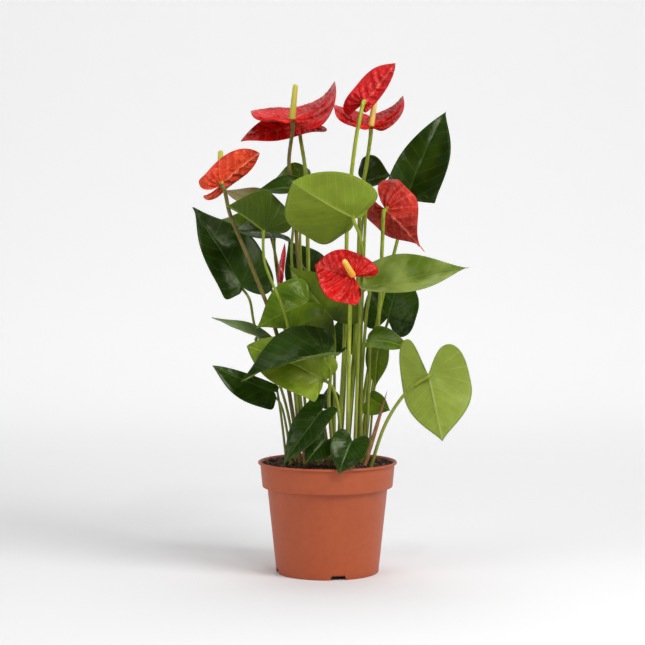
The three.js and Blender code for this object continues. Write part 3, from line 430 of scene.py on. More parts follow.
# A row names the blade and its tone, its joint and tip, the way its upper side looks, its left and right half
# (width, lobe, fold and cup; no right half means one as on the left), the points that its stalk goes through
# from the soil up, and then what isn't usual. Its rim waves up and down: height, then count and phase.
LEAF_ROWS = [
    ("leaf_far_left", "dark", (-75, 8, 248), (-118, 22, 315), (0, -0.8, 0.6), (0.27, 0.08, 0.1, 0.2),
     (0.38, 0.2, 0.35, 0.3), ((-24, 7, 76), (-38, 7, 151), (-63, 15, 211), (-68, 12, 236)),
     {"twist": 0.7, "blunt": 0.3, "wave": 1.5}),
    ("leaf_bronze_back", "bronze", (-58, 45, 316), (-95, 60, 330), (-0.1, -0.4, 0.9), (0.4, 0.28, 0.2, 0.2),
     None, ((-18, 16, 76), (-32, 26, 200), (-50, 40, 290)), {"arch": 0.5}),
    ("leaf_olive_folded", "olive", (-54, -30, 294), (-84, -62, 314), (-0.3, 0.3, 0.9), (0.64, 0.34, 0.8, 0.3),
     (0.5, 0.28, 1, 0.3), ((-17, -20, 76), (-29, -28, 180), (-36, -34, 224), (-53, -32, 268)), {}),
    ("leaf_dark_high", "dark", (-24, -12, 330), (-63, -20, 326), (0, -0.6, 0.8), (0.45, 0.2, 0.3, 0.2),
     (0.35, 0.2, 0.2, 0.2), ((-14, 5, 76), (-26, 9, 225), (-31, 5, 275), (-27, -6, 313)), {"arch": 0.4}),
    ("leaf_pale_high", "mid", (-22, 30, 338), (-48, 26, 338), (0, -0.6, 0.8), (0.4, 0.28, 0.2, 0.2),
     (0.75, 0.28, 0.2, 0.2), ((-10, 19, 76), (-20, 26, 217), (-24, 29, 290)), {}),
    ("leaf_green_left", "mid", (-74, 34, 297), (-99, 54, 303), (0, -0.6, 0.8), (0.45, 0.28, 0.2, 0.2), None,
     ((-22, 14, 76), (-35, 20, 199), (-58, 28, 265)), {"arch": 0.6}),
    ("leaf_dark_left", "dark", (-45, 18, 293), (-84, 10, 293), (0, -0.6, 0.8), (0.45, 0.28, 0.2, 0.2), None,
     ((-15, 10, 76), (-38, 14, 217), (-46, 17, 278)), {}),
    ("leaf_broad_light", "light", (21, -45, 305), (-29, -70, 334), (0.2, 0.85, 0.45), (0.52, 0.12, 0.1, 0.3),
     (0.76, 0.12, 0.1, 0.3), ((22, -17, 76), (27, -36, 228), (28, -45, 285)),
     {"radius": 1.5, "arch": -0.3, "blunt": 0.7, "wave": 1.5}),
    ("leaf_dark_high_right", "dark", (33, 30, 338), (56, 16, 342), (-0.1, -0.85, 0.5), (0.85, 0.3, 0.1, 0.3),
     (0.4, 0.3, 0.1, 0.2), ((16, 18, 76), (27, 22, 217), (30, 28, 295)), {}),
    ("leaf_tall_right", "dark", (69, 45, 322), (106, 60, 401), (-0.3, -0.9, 0.3), (0.24, 0.1, 0.15, 0.2),
     (0.35, -0.1, 0.15, 0.2), ((20, 24, 76), (44, 32, 216), (62, 42, 287)),
     {"radius": 1.6, "blunt": 0.2, "wave": 1.5}),
    ("leaf_waved_right", "light", (34, -30, 246), (119, -45, 263), (-0.1, -0.6, 0.8), (0.3, 0.02, 0.2, 0.2),
     (0.43, 0, 0.6, 0.1), ((29, -10, 76), (29, -9, 158), (33, -18, 222)),
     {"radius": 1.5, "arch": 0.15, "twist": 0.6, "blunt": -0.15, "wave": 2.5, "waves": (3, 1.2)}),
    ("leaf_dark_right_back", "dark", (54, 42, 219), (69, 54, 262), (-0.2, -0.9, 0.2), (0.5, 0.3, 0.1, 0.2),
     (0.56, 0.3, 0.1, 0.2), ((30, 10, 76), (40, 26, 160), (50, 45, 203)), {}),
    ("leaf_striped_right", "mid", (35, -26, 202), (70, -38, 195), (0, -0.5, 0.85), (0.46, 0.06, 0.1, 0.2),
     (0.36, 0.02, -0.1, 0.3), ((32, -2, 76), (35, -13, 150), (36, -20, 187)), {"arch": 0.4}),
    ("leaf_bronze_hanging", "olive", (44, -2, 192), (41, -13, 160), (-0.2, -0.9, 0.1), (0.32, 0.28, 0.2, 0.2),
     None, ((34, 4, 76), (40, 10, 150), (44, 4, 186)), {"radius": 1, "wave": 0.5}),
    ("leaf_hanging_right", "light", (85, -38, 172), (96, -48, 118), (-0.1, 0.9, 0.3), (0.43, 0.62, 0.1, 0.2),
     (0.64, 0.4, 0.1, 0.2), ((32, -18, 76), (50, -30, 133), (69, -36, 161)),
     {"radius": 1.5, "arch": 0.2, "blunt": 0.2}),
    ("leaf_small_right", "mid", (37, 2, 150), (54, -8, 140), (-0.1, -0.9, 0.3), (0.36, 0.1, 0.2, 0.2),
     (0.7, 0, 0.1, 0.2), ((26, 6, 76), (28, 5, 120), (32, 4, 144)), {"arch": 0.4, "blunt": 0.2, "wave": 0.5}),
    ("leaf_over_rim_right", "dark", (20, -50, 118), (9, -66, 92), (0, -0.8, 0.6), (0.5, 0.28, 0.1, 0.2), None,
     ((22, -30, 76), (21, -40, 108)), {"radius": 1.1, "wave": 0.5}),
    ("leaf_over_rim_small", "dark", (-2, -40, 118), (-19, -50, 99), (0, -0.8, 0.6), (0.5, 0.28, 0.1, 0.2),
     None, ((1, -31, 76), (0, -36, 108)), {"radius": 1, "wave": 0.5}),
    ("leaf_over_rim_left", "dark", (-6, -38, 141), (-37, -46, 98), (-0.3, -0.8, 0.5), (0.3, 0.2, 0.2, 0.2),
     (0.29, 0.28, 0.1, 0.2), ((-9, -24, 76), (-5, -30, 124)), {"radius": 1.2, "blunt": 0.1, "wave": 0.5}),
    ("leaf_left_lower", "dark", (-47, -24, 158), (-97, -38, 181), (-0.1, -0.8, 0.6), (0.38, 0.08, 0.1, 0.2),
     (0.13, 0.08, 0.2, 0.2), ((-30, -6, 76), (-35, -14, 125), (-41, -21, 149)),
     {"radius": 1.1, "arch": -0.3, "blunt": 0.4, "wave": 0.5}),
    ("leaf_left_front", "dark", (-2, -50, 190), (-72, -66, 169), (0, -0.5, 0.85), (0.295, 0.28, 0.55, 0.2),
     (0.45, 0.2, 0.2, 0.2), ((8, -24, 76), (1, -34, 150), (2, -45, 179)),
     {"radius": 1.5, "arch": 0.6, "curl": -1}),
    ("leaf_yellow_front", "light", (-6, -38, 170), (-68, -35, 197), (-0.2, -0.8, 0.5), (0.38, 0.05, 0.1, 0.3),
     (0.33, 0.12, 0.2, 0.2), ((14, -18, 76), (7, -30, 154), (0, -36, 167)),
     {"radius": 1.5, "arch": 0.6, "blunt": 0.6, "wave": 1.5}),
    ("leaf_mid_left", "mid", (-18, -14, 233), (-61, -22, 211), (-0.1, -0.85, 0.5), (0.42, 0.2, 0.1, 0.2),
     (0.5, 0.15, 0.2, 0.3), ((-8, -6, 76), (-16, -11, 180), (-18, -12, 215)), {}),
    ("leaf_olive_centre", "olive", (4, 2, 219), (-33, -4, 265), (-0.3, -0.85, 0.4), (0.45, 0.28, 0.1, 0.2),
     None, ((6, 2, 76), (6, 4, 165), (6, 5, 204)), {}),
    ("leaf_edge_on_left", "grey", (-60, -7, 204), (-100, -4, 220), (0, -0.25, 0.97), (0.3, 0.28, 0.2, 0.2),
     None, ((-33, 1, 76), (-45, -8, 166), (-56, -10, 198)), {"radius": 1.1, "arch": 0.1, "wave": 0.5}),
    ("leaf_centre_back", "dark", (-10, 40, 247), (-35, 50, 287), (-0.2, -0.9, 0.2), (0.45, 0.28, 0.1, 0.2),
     None, ((-6, 28, 76), (-10, 37, 216)), {}),
    ("leaf_inner_right", "dark", (15, 36, 194), (16, 54, 222), (-0.2, -0.9, 0.2), (0.4, 0.28, 0.1, 0.2), None,
     ((10, 30, 76), (15, 35, 150)), {}),
    ("leaf_mid_high", "mid", (35, -8, 324), (21, -34, 337), (0, -0.2, 0.95), (0.2, 0.08, 0.2, 0.2),
     (0.25, 0.08, 0.2, 0.2), ((25, -1, 76), (29, -8, 209), (32, -8, 295)), {}),
    ("leaf_inner_low", "dark", (4, 20, 142), (1, 40, 157), (-0.1, -0.9, 0.2), (0.35, 0.1, 0.1, 0.2), None,
     ((2, 19, 76), (4, 19, 120)), {"wave": 0.5}),
]
LEAF_THICKNESS = 0.55
LEAF_NECK = 4
LARGE_LEAF = 38
LARGE_GRID = (144, 34)
SMALL_GRID = (96, 20)
RING_SPACING = 0.9
RIM_ROUNDING = 1.2
RIB_HALF_WIDTH = 0.9
SIDE_VEIN_LEAN = (0.62, 0.45)
LEAF_VEINS = (7.0, 2.6)
LEAF_RIB = 0.45
LEAF_VEIN_DEPTH = 0.12
LEAF_GROOVE = 0.35
LEAF_SWELLS = ((15, None, 1.1), (6, 3, 0.35))
LEAF_RELIEF_DEPTH = 0.00014
NET_SCALE = 380.0
MARGIN_VEIN = 2.6
PETIOLE_SIDES = 12
PETIOLE_STEPS = 10
PETIOLE_FOOT = (140, 138, 66)
JOINT_SWELL = 0.3
JOINT_REACH = 7
FOOT_SWELL = 0.18
FOOT_REACH = 25
STEM_TAPER = 0.08
# Leaves with the hazy look, whose colour holds painted sheen and painted shade
SHEEN_PAINTED_LEAVES = ("leaf_waved_right", "leaf_hanging_right")
LEAF_LOOKS = {
    # upper side, its lighter clouds, underside, veins above and below, petiole;
    # then roughness, and how strong the veins are
    "dark": (
        (18, 40, 0), (36, 60, 8), (96, 116, 54),
        (74, 98, 34), (130, 148, 80), (126, 140, 34), 0.24, 0.13),
    "mid": (
        (58, 84, 2), (92, 118, 16), (118, 136, 44),
        (122, 146, 44), (156, 170, 84), (132, 146, 34), 0.27, 0.2),
    "light": (
        (90, 112, 14), (122, 140, 36), (108, 126, 30),
        (158, 172, 66), (146, 160, 70), (138, 152, 40), 0.31, 0.18),
    "olive": (
        (54, 74, 2), (88, 108, 12), (48, 66, 4),
        (110, 126, 36), (98, 116, 34), (132, 146, 34), 0.34, 0.2),
    # hazy: clouds from a darker green to a pale greyish green, partly the leaf's own mottling and partly
    # painted shade and painted glossy sheen
    "hazy": (
        (80, 102, 16), (126, 142, 66), (112, 128, 44),
        (150, 164, 90), (146, 160, 78), (138, 152, 40), 0.28, 0.18),
    "bronze": (
        (92, 74, 18), (118, 104, 28), (116, 88, 40),
        (146, 122, 54), (150, 120, 62), (132, 116, 40), 0.32, 0.25),
    "grey": (
        (76, 98, 44), (102, 122, 66), (118, 134, 84),
        (130, 148, 92), (146, 158, 104), (118, 130, 46), 0.38, 0.25),
}


def full_row(row):
    """The values of a row under their names, with the usual ones where it gives none."""
    *parts, own = row
    full = {**USUAL_BLADE, **dict(zip(ROW_PARTS, parts)), **own}
    full["right"] = full["right"] or full["left"]
    return full


def heart_outline(u, width, lobe, blunt):
    """Half the outline from the tip (u = 0) round the lobe to the notch (u = 3), in midrib lengths."""
    zero = np.zeros_like(width)
    shoulder = (0.2 + 0.1 * blunt + zero, width)
    lobe_end = (-lobe, 0.55 * width)
    curves = [
        [(1 + zero, zero), (0.82 + 0.13 * blunt + zero, 0.04 + 0.4 * width * blunt),
         (0.56 + 0.26 * blunt + zero, width), shoulder],
        [shoulder, (-0.05 + zero, width), (-lobe, 0.92 * width), lobe_end],
        [lobe_end, (-lobe, 0.22 * width), (-0.1 + zero, 0.1 * width), (-0.03 + zero, zero)],
    ]
    part = np.minimum(2, u.astype(int))
    t = u - part
    s = 1 - t
    weights = (s ** 3, 3 * t * s * s, 3 * t * t * s, t ** 3)
    along = np.zeros_like(u)
    aside = np.zeros_like(u)
    for k, curve in enumerate(curves):
        here = part == k
        for weight, (x, y) in zip(weights, curve):
            along[here] += (weight * x)[here]
            aside[here] += (weight * y)[here]
    return along, aside


def unit(vector):
    return vector / np.linalg.norm(vector)


def blade_axes(row):
    """The joint, the way to the tip, the way the upper side looks, and the straight length."""
    joint = np.array(row["at"], float)
    chord = np.array(row["tip"], float) - joint
    length = np.linalg.norm(chord)
    along = chord / length
    face = np.array(row["face"], float)
    return joint, along, unit(face - along * face.dot(along)), length


def blade_points(row, a, b, rho, u, lift):
    """Places flat points a along and b aside (in midrib lengths) on the bent, cupped and waved blade."""
    joint, along, face, length = blade_axes(row)
    half = row["arch"] / 2
    arc = length * half / math.sin(half)
    bend = np.where(a >= 0, row["arch"], row["curl"] / 0.3) / arc
    angle = half - bend * a * arc
    forward = (math.sin(half) - np.sin(angle)) / bend
    rise = (np.cos(angle) - math.cos(half)) / bend
    cos, sin = np.cos(angle)[:, None], np.sin(angle)[:, None]
    tangent = cos * along + sin * face
    normal = -sin * along + cos * face
    side = np.cross(normal, tangent)
    left = b >= 0
    width, lobe, fold, cup = (np.where(left, x, y) for x, y in zip(row["left"], row["right"]))
    turn = fold + cup * np.abs(b) / width
    radius = width * arc / cup
    across = radius * (np.sin(turn) - np.sin(fold))
    up = radius * (np.cos(fold) - np.cos(turn))
    twist = (row["twist"] * a)[:, None]
    side_turned = np.cos(twist) * side + np.sin(twist) * normal
    face_turned = -np.sin(twist) * side + np.cos(twist) * normal
    count, phase = row["waves"]
    wave = row["wave"] * rho ** 2 * np.sin(count * u + phase + np.where(left, 0, 1.3)) + lift
    sign = np.where(left, 1, -1)
    points = joint + forward[:, None] * along + rise[:, None] * face
    points = points + (sign * (across - wave * np.sin(turn)))[:, None] * side_turned
    return points + (up + wave * np.cos(turn))[:, None] * face_turned


def vein_course(a, b, side_veins, basal_veins):
    """A number that is whole on each vein: side veins up the midrib, and basal ones round the joint."""
    aside = np.abs(b)
    lean, bow = SIDE_VEIN_LEAN
    climb = a - lean * aside - bow * aside ** 2
    edge = np.arctan2(1, lean + bow * aside)
    swing = np.arctan2(aside, a) - edge
    return np.where(climb >= 0, side_veins * climb, -basal_veins * swing)


def near_vein(course, reach):
    """1 on a vein, falling off over that share of the space between veins."""
    away = np.abs(course - np.round(course))
    return np.exp(-(away / reach) ** 2)


def near_midrib(a, b, length, half_width, end):
    """1 on the midrib at the joint, falling off to both sides and towards the tip."""
    return np.exp(-(np.abs(b) * length / half_width) ** 2) * (a > -0.02) * np.clip(end - a, 0, 1)


def swells(a, b, length, sizes):
    """Soft swells of the skin: for each kind its size in millimetres, its slice of the noise and its height."""
    return np.array([
        sum(height * noise.noise(Vector((x / size, y / size, length if depth is None else depth)))
            for size, depth, height in sizes)
        for x, y in zip(a * length, b * length)])


def round_ball(name, segments, rings):
    """A ball, and where its corners are."""
    bpy.ops.object.select_all(action="DESELECT")
    bpy.ops.mesh.primitive_uv_sphere_add(segments=segments, ring_count=rings, radius=1)
    ball = bpy.context.object
    ball.name = name
    return ball, np.array([vertex.co[:] for vertex in ball.data.vertices])


def note_on(piece, name, *values):
    """Keeps three numbers for each corner, which a finish reads as an attribute."""
    notes = np.stack(values, axis=1).astype(float)
    piece.data.attributes.new(name, "FLOAT_VECTOR", "POINT").data.foreach_set("vector", notes.ravel())


def lay_out(piece, points):
    piece.data.vertices.foreach_set("co", (points * MM).ravel())
    piece.data.update()


def make_blade(row, grid, thickness, relief):
    """One blade: a flattened ball laid on the blade's surface, its two halves the two faces."""
    segments, rings = grid
    ball, spots = round_ball(row["name"], segments, 2 * rings)
    around = np.arctan2(spots[:, 1], spots[:, 0])
    height = np.arcsin(np.clip(spots[:, 2], -1, 1)) / (math.pi / 2)
    face = np.where(np.abs(height) < 1e-4, 0.0, np.sign(height))
    u = np.clip(3 * np.abs(around) / math.pi, 0, 3)
    left = around >= -1e-6
    side = np.where(left, 1.0, -1.0)
    rho = (1 - np.abs(height)) ** RING_SPACING
    width, lobe = (np.where(left, x, y) for x, y in zip(row["left"][:2], row["right"][:2]))
    rim_a, rim_b = heart_outline(u, width, lobe, row["blunt"])
    rim_b = rim_b * side
    a, b = rho * rim_a, rho * rim_b
    b = np.where(np.abs(b) < 1e-9, side * 1e-9, b)
    length = blade_axes(row)[3]
    away_rim = (1 - rho) * np.hypot(rim_a, rim_b) * length
    course = vein_course(a, b, *relief["veins"])
    lift = relief["shape"](a, b, rho, course, away_rim, length)
    middle = blade_points(row, a, b, rho, u, lift)
    step = 0.01
    ahead = blade_points(row, a + step, b, rho, u, lift) - blade_points(row, a - step, b, rho, u, lift)
    aside = blade_points(row, a, b + step, rho, u, lift) - blade_points(row, a, b - step, rho, u, lift)
    outward = np.cross(ahead, aside)
    outward /= np.linalg.norm(outward, axis=1)[:, None]
    edge = np.clip(away_rim / (RIM_ROUNDING * thickness), 0, 1)
    half = thickness / 2 * np.sqrt(1 - (1 - edge) ** 2)
    rib = relief["rib"] * near_midrib(a, b, length, RIB_HALF_WIDTH, 1.15) * edge
    half = half + np.where(face < 0, rib, 0)
    lay_out(ball, middle + (face * half)[:, None] * outward)
    note_on(ball, "veins", course, np.abs(b) * length, away_rim)
    note_on(ball, "spot", a * length * MM, b * length * MM, face)
    return ball


def stem_course(points, steps):
    """A smooth centripetal curve through the points."""
    points = [np.array(point, float) for point in points]
    points = [2 * points[0] - points[1]] + points + [2 * points[-1] - points[-2]]
    course = []
    for k in range(1, len(points) - 2):
        p0, p1, p2, p3 = points[k - 1:k + 3]
        d0, d1, d2 = (
            max(math.sqrt(np.linalg.norm(q - p)), 1e-4) for p, q in ((p0, p1), (p1, p2), (p2, p3)))
        t1 = ((p1 - p0) / d0 - (p2 - p0) / (d0 + d1) + (p2 - p1) / d1) * d1
        t2 = ((p2 - p1) / d1 - (p3 - p1) / (d1 + d2) + (p3 - p2) / d2) * d1
        for i in range(steps):
            w = i / steps
            course.append((2 * w ** 3 - 3 * w ** 2 + 1) * p1 + (w ** 3 - 2 * w ** 2 + w) * t1
                          + (-2 * w ** 3 + 3 * w ** 2) * p2 + (w ** 3 - w ** 2) * t2)
    return np.array(course + [points[-2]])


def make_stem(name, course, radii):
    """A round rod along the course, drawn as a curve with its own thickness at each point."""
    curve = new_curve(name, 1, PETIOLE_SIDES // 4)
    spline = curve.splines.new("POLY")
    spline.points.add(len(course) - 1)
    spline.use_smooth = True
    for point, spot, radius in zip(spline.points, course, radii):
        point.co = (*(spot * MM), 1)
        point.radius = radius
    rod = as_mesh(name, curve)
    zero = np.zeros(len(rod.data.vertices))
    note_on(rod, "veins", zero + 0.5, zero + 9, zero + 9)
    note_on(rod, "spot", zero, zero, zero)
    return rod


def below_blade(row, distance):
    """The point square under the joint of the blade, at that distance."""
    joint, along, face, _ = blade_axes(row)
    lean = row["arch"] / 2
    return joint + distance * (math.sin(lean) * along - math.cos(lean) * face)


def stem_radii(course, radius, joint_swell):
    """Thicker at the foot, and swollen for the last few millimetres under the blade."""
    spans = np.linalg.norm(np.diff(course, axis=0), axis=1)
    run = np.concatenate([[0], np.cumsum(spans)])
    left = run[-1] - run
    swell = FOOT_SWELL * np.exp(-run / FOOT_REACH) + joint_swell * np.exp(-(left / JOINT_REACH) ** 2)
    return radius * (1 + swell - STEM_TAPER * run / run[-1])


def leaf_lift(a, b, rho, course, away_rim, length):
    """Veins lie a little sunk in the upper side, and the blade swells softly between them."""
    calm = np.clip(away_rim / 4, 0, 1) * np.clip(np.hypot(a, b) * length / 6, 0, 1)
    groove = near_midrib(a, b, length, 1.3, 1.1) * np.clip(rho * 4, 0, 1)
    swell = swells(a, b, length, LEAF_SWELLS)
    return calm * (0.08 + swell - LEAF_VEIN_DEPTH * near_vein(course, 0.16)) - LEAF_GROOVE * groove


LEAF_RELIEF = {"veins": LEAF_VEINS, "shape": leaf_lift, "rib": LEAF_RIB}


def noted(start, name):
    """The three numbers that the corners keep under that name."""
    return start.node("ShaderNodeAttribute", {}, {"attribute_name": name}, out="Vector")


def from_vein(course):
    """How far a point is from the nearest vein, in shares of the space between veins."""
    return (course - course.sum_with("ROUND", course)).magnitude()


def cell_walls(spot, scale):
    """1 on the walls of a fine net, 0 within its cells."""
    net = spot.node("ShaderNodeTexVoronoi", {"Vector": spot, "Scale": scale}, {"feature": "DISTANCE_TO_EDGE"})
    return net.rise(0.10, 0.0)


def leaf_finish(tone):
    """Waxy blade: veins and clouds of colour from the leaf's own notes, matte and paler below."""
    upper, cloud, under, vein_above, vein_below = (srgb(*colour) for colour in LEAF_LOOKS[tone][:5])
    under_light = srgb(*[min(255, round(1.15 * part)) for part in LEAF_LOOKS[tone][2]])
    gloss, strength = LEAF_LOOKS[tone][6:]
    finish, start, place = new_finish("leaf_" + tone)
    course, middle, rim = noted(start, "veins").parts()
    spot = noted(start, "spot")
    above = spot.parts()[2].rise(-0.3, 0.3)
    away = from_vein(course)
    side_vein = away.rise(0.05, 0.008)
    halo = away.rise(0.34, 0.0)
    midrib = middle.rise(1.1, 0.3)
    margin_vein = (rim - MARGIN_VEIN).magnitude().rise(0.4, 0.05)
    margin = rim.rise(0.7, 0.0)
    mesh = cell_walls(spot, NET_SCALE)
    clouds = start.grain(place, 0.028, 4.0, 0.5)
    fleck = start.grain(place, 0.0022, 3.0)
    top = clouds.rise(0.36, 0.64).blend(upper, cloud)
    for mark, share in (
            (halo, 0.3 * strength), (mesh, 0.2 * strength), (side_vein, strength),
            (margin_vein, 0.5 * strength), (midrib, 0.2 + 1.6 * strength)):
        top = (mark * share).blend(top, vein_above)
    low = clouds.rise(0.25, 0.8).blend(under, under_light)
    for mark, share in ((mesh, 0.16), (side_vein, 0.5), (margin_vein, 0.35), (midrib, 0.9)):
        low = (mark * share).blend(low, vein_below)
    colour = above.blend(low, top)
    colour = (margin * 0.5).blend(colour, vein_above)
    roughness = gloss - 0.03 + 0.1 * clouds + (1 - above) * 0.16 + side_vein * 0.05
    sunk = above * 1.2 - 0.6
    relief = fleck * 0.2 - side_vein * 3.0 * strength * sunk - mesh * 0.2 - midrib * sunk
    return coat(finish, colour, roughness, relief, LEAF_RELIEF_DEPTH,
                Specular_IOR_Level=0.26, Specular_Tint=(0.95, 1.0, 0.7, 1.0))


def stem_finish(name, low, high, foot):
    """Smooth green skin: painted lit and shaded streaks along it, lighter patches in the lit colour, browner
    towards the foot.
    """
    finish, start, place = new_finish(name)
    height = place.parts()[2]
    # streak: painted light and shade in stripes along the stem, between the shaded and lit colours
    streak = start.grain(start.node(
        "ShaderNodeVectorMath", {0: place, 1: (1, 1, 0.12)}, {"operation": "MULTIPLY"}), 0.0016, 3.0)
    cloud = start.grain(place, 0.02, 2.0)
    colour = streak.rise(0.3, 0.7).blend(srgb(*low), srgb(*high))
    colour = (cloud.rise(0.35, 0.7) * 0.4).blend(colour, srgb(*high))
    colour = (height.rise(0.165, 0.10) * 0.6).blend(colour, srgb(*foot))
    return coat(finish, colour, 0.34 + 0.1 * cloud, streak, 0.00008, Specular_IOR_Level=0.3)


leaf_finishes = {tone: leaf_finish(tone) for tone in LEAF_LOOKS}
petiole_finishes = {
    tone: stem_finish("petiole_" + tone, [round(0.82 * part) for part in look[5]], look[5], PETIOLE_FOOT)
    for tone, look in LEAF_LOOKS.items()}

for row in map(full_row, LEAF_ROWS):
    name = row["name"]
    look = "hazy" if name in SHEEN_PAINTED_LEAVES else row["tone"]
    grid = LARGE_GRID if blade_axes(row)[3] > LARGE_LEAF else SMALL_GRID
    blade = make_blade(row, grid, LEAF_THICKNESS, LEAF_RELIEF)
    course = stem_course([*row["stalk"], below_blade(row, LEAF_NECK), below_blade(row, 0.1)], PETIOLE_STEPS)
    petiole = make_stem(name + "_petiole", course, stem_radii(course, row["radius"], JOINT_SWELL))
    blade.data.materials.append(leaf_finishes[look])
    petiole.data.materials.append(petiole_finishes[look])
    select_only(blade)
    petiole.select_set(True)
    bpy.ops.object.join()
    bpy.ops.object.shade_smooth()
    blade.name = name + "_leaf"
    place_piece(blade, "leaf_" + row["tone"], name)

# ---------------------------------------------------------------- blooms
# Each bloom is a waxy heart-shaped spathe, bright red and very glossy, on a long bare stem. Its veins are
# sunk and it puckers up between them. A yellow spadix stands at its joint, set with tiny florets in spirals.
SPATHE_THICKNESS = 0.6
SPATHE_NECK = 5
SPATHE_SEAT = 0.65
SPATHE_GRID = (160, 46)
SPATHE_VEINS = (5.0, 2.2)
SPATHE_RIB = 0.25
SPATHE_PUCKER = 1.4
SPATHE_GROOVE = 0.7
SPATHE_WRINKLES = ((3.2, None, 1.0), (1.5, 7, 0.5))
SPATHE_NET_SCALE = 300.0
SPADIX_RADII = (2.75, 2.1)
SPADIX_GRID = (64, 140)
SPADIX_DOME = 2.4
SPADIX_BASE = 1.5
FLORET_SPIRALS = 13
FLORET_PITCH = 1.15
FLORET_HEIGHT = 0.24
BLOOM_STEM_WIDTH = 1.12
BLOOM_STEM_SWELL = 0.12
BLOOM_STEM_STEPS = 12
# The tones of a bloom are those of its spadix and of its stem, and spadix is where its spadix ends.
BLOOM_ROWS = [
    ("bloom_high_left", ("green", "brown"), (-30, -18, 387), (-30, 42, 402), (-0.12, -0.4, 0.9),
     (0.58, 0.1, 0.2, 0.1), (0.8, 0.6, 0.1, 0.9),
     ((-2, 6, 76), (-20, 8, 218), (-26, 4, 279), (-28, 1.5, 315), (-33, -3, 352)),
     {"radius": 1.6, "arch": 0.1, "curl": 0.2, "blunt": 0.7, "spadix": (-27, -20, 418)}),
    ("bloom_left_open", ("green", "green"), (-23, 22, 386), (-74, -10, 370), (0.1, -0.65, 0.75),
     (0.26, 0.35, 0.1, 0.1), (0.28, 0.3, 0.1, 0.1),
     ((1, 12, 76), (-15, 15, 217), (-17, 15, 280), (-19, 19, 345)),
     {"radius": 1.6, "arch": 0.2, "curl": 0.2, "blunt": 0.35, "spadix": (-30, 26, 395)}),
    ("bloom_high_right", ("cream", "green"), (37, -4, 382), (38, 38, 395), (0, -0.3, 0.95),
     (0.84, 0.3, 0.3, 0.35), (0.86, 0.45, 0.4, 0.6),
     ((14, 12, 76), (25, 16, 217), (27.5, 20, 286), (28.8, 21, 322), (33.5, 11, 350)),
     {"radius": 1.6, "arch": 0.1, "curl": 0.2, "blunt": 0.7, "spadix": (41, -2, 409)}),
    ("bloom_top", ("cream", "bright"), (31, -20, 402), (57, -26, 435), (0.3, 0.9, 0.1),
     (0.18, 0.15, 0.1, 0.1), (0.38, 0.5, 0.1, 0.1),
     ((8, 12, 76), (16, 13, 226), (17, -6, 303), (24, -26, 372)),
     {"radius": 1.6, "curl": -0.6, "blunt": 0.5, "spadix": (36, -8, 413)}),
    ("bloom_far_left", ("green", "brown"), (-90, -36, 332), (-57, -30, 359), (-0.5, 0.75, 0.4),
     (0.27, 0.5, 0.1, 0.4), (0.4, 0.4, 0.1, 0.4),
     ((-20, -10, 76), (-43, -5, 204), (-66, -15, 267), (-82, -32, 308)),
     {"radius": 1.6, "curl": -0.8, "blunt": 0.9, "spadix": (-90, -26, 362)}),
    ("bloom_front", ("yellow", "bright"), (21, -56, 256), (-11, -60, 265), (-0.1, -0.9, 0.4),
     (0.85, 0.28, 0.1, 0.2), (0.6, 0.6, 0.1, 0.2), ((17, -9, 76), (18, -30, 185), (19, -46, 240)),
     {"radius": 1.6, "arch": 0.2, "curl": 0.2, "blunt": 0.6, "spadix": (13, -68, 270)}),
    ("bloom_right", ("yellow", "green"), (50, -8, 312), (82, -20, 276), (0.2, 0.9, 0.4),
     (0.48, 0.75, 0.2, 0.3), (0.54, 0.85, 0.1, 0.7),
     ((27, 17, 76), (35, 16, 150), (44, 8, 216), (47, -2, 283)),
     {"radius": 1.6, "curl": -0.6, "twist": 0.3, "blunt": -0.6, "spadix": (62, 6, 337)}),
]


def spathe_lift(a, b, rho, course, away_rim, length):
    """Broad puckers between sunk veins, deepest about the joint, and fine wrinkles over them."""
    reach = np.hypot(a, b) * length
    calm = np.clip(away_rim / 5, 0, 1) * np.clip(reach / 5, 0, 1)
    pucker = SPATHE_PUCKER * (0.5 - near_vein(course, 0.3)) * (1 + 0.7 * np.exp(-(reach / 16) ** 2))
    groove = near_midrib(a, b, length, 1.2, 1.1) * np.clip(rho * 4, 0, 1) * np.clip(away_rim / 3, 0, 1)
    return calm * (pucker + swells(a, b, length, SPATHE_WRINKLES)) - SPATHE_GROOVE * groove


SPATHE_RELIEF = {"veins": SPATHE_VEINS, "shape": spathe_lift, "rib": SPATHE_RIB}

SPATHE_BACKS = {
    # underside, its lighter clouds, its veins, and how deep and how glossy its wrinkles are
    "bloom_high_left": ((158, 26, 18), (184, 40, 28), (214, 124, 88), 0.0003, 0.12),
    "bloom_left_open": ((150, 8, 12), (184, 18, 20), (222, 90, 74), 0.0006, 0.3),
    "bloom_high_right": ((172, 26, 20), (196, 42, 30), (222, 130, 96), 0.0003, 0.12),
    "bloom_top": ((172, 5, 12), (204, 16, 24), (230, 92, 84), 0.0008, 0.4),
    "bloom_far_left": ((184, 34, 12), (222, 68, 32), (240, 140, 96), 0.0008, 0.4),
    "bloom_front": ((168, 30, 22), (196, 50, 36), (226, 120, 96), 0.0007, 0.36),
    "bloom_right": ((148, 20, 14), (196, 46, 34), (226, 118, 98), 0.0006, 0.36),
}


def lighter(colour):
    return srgb(*[min(255, part + 30) for part in colour])


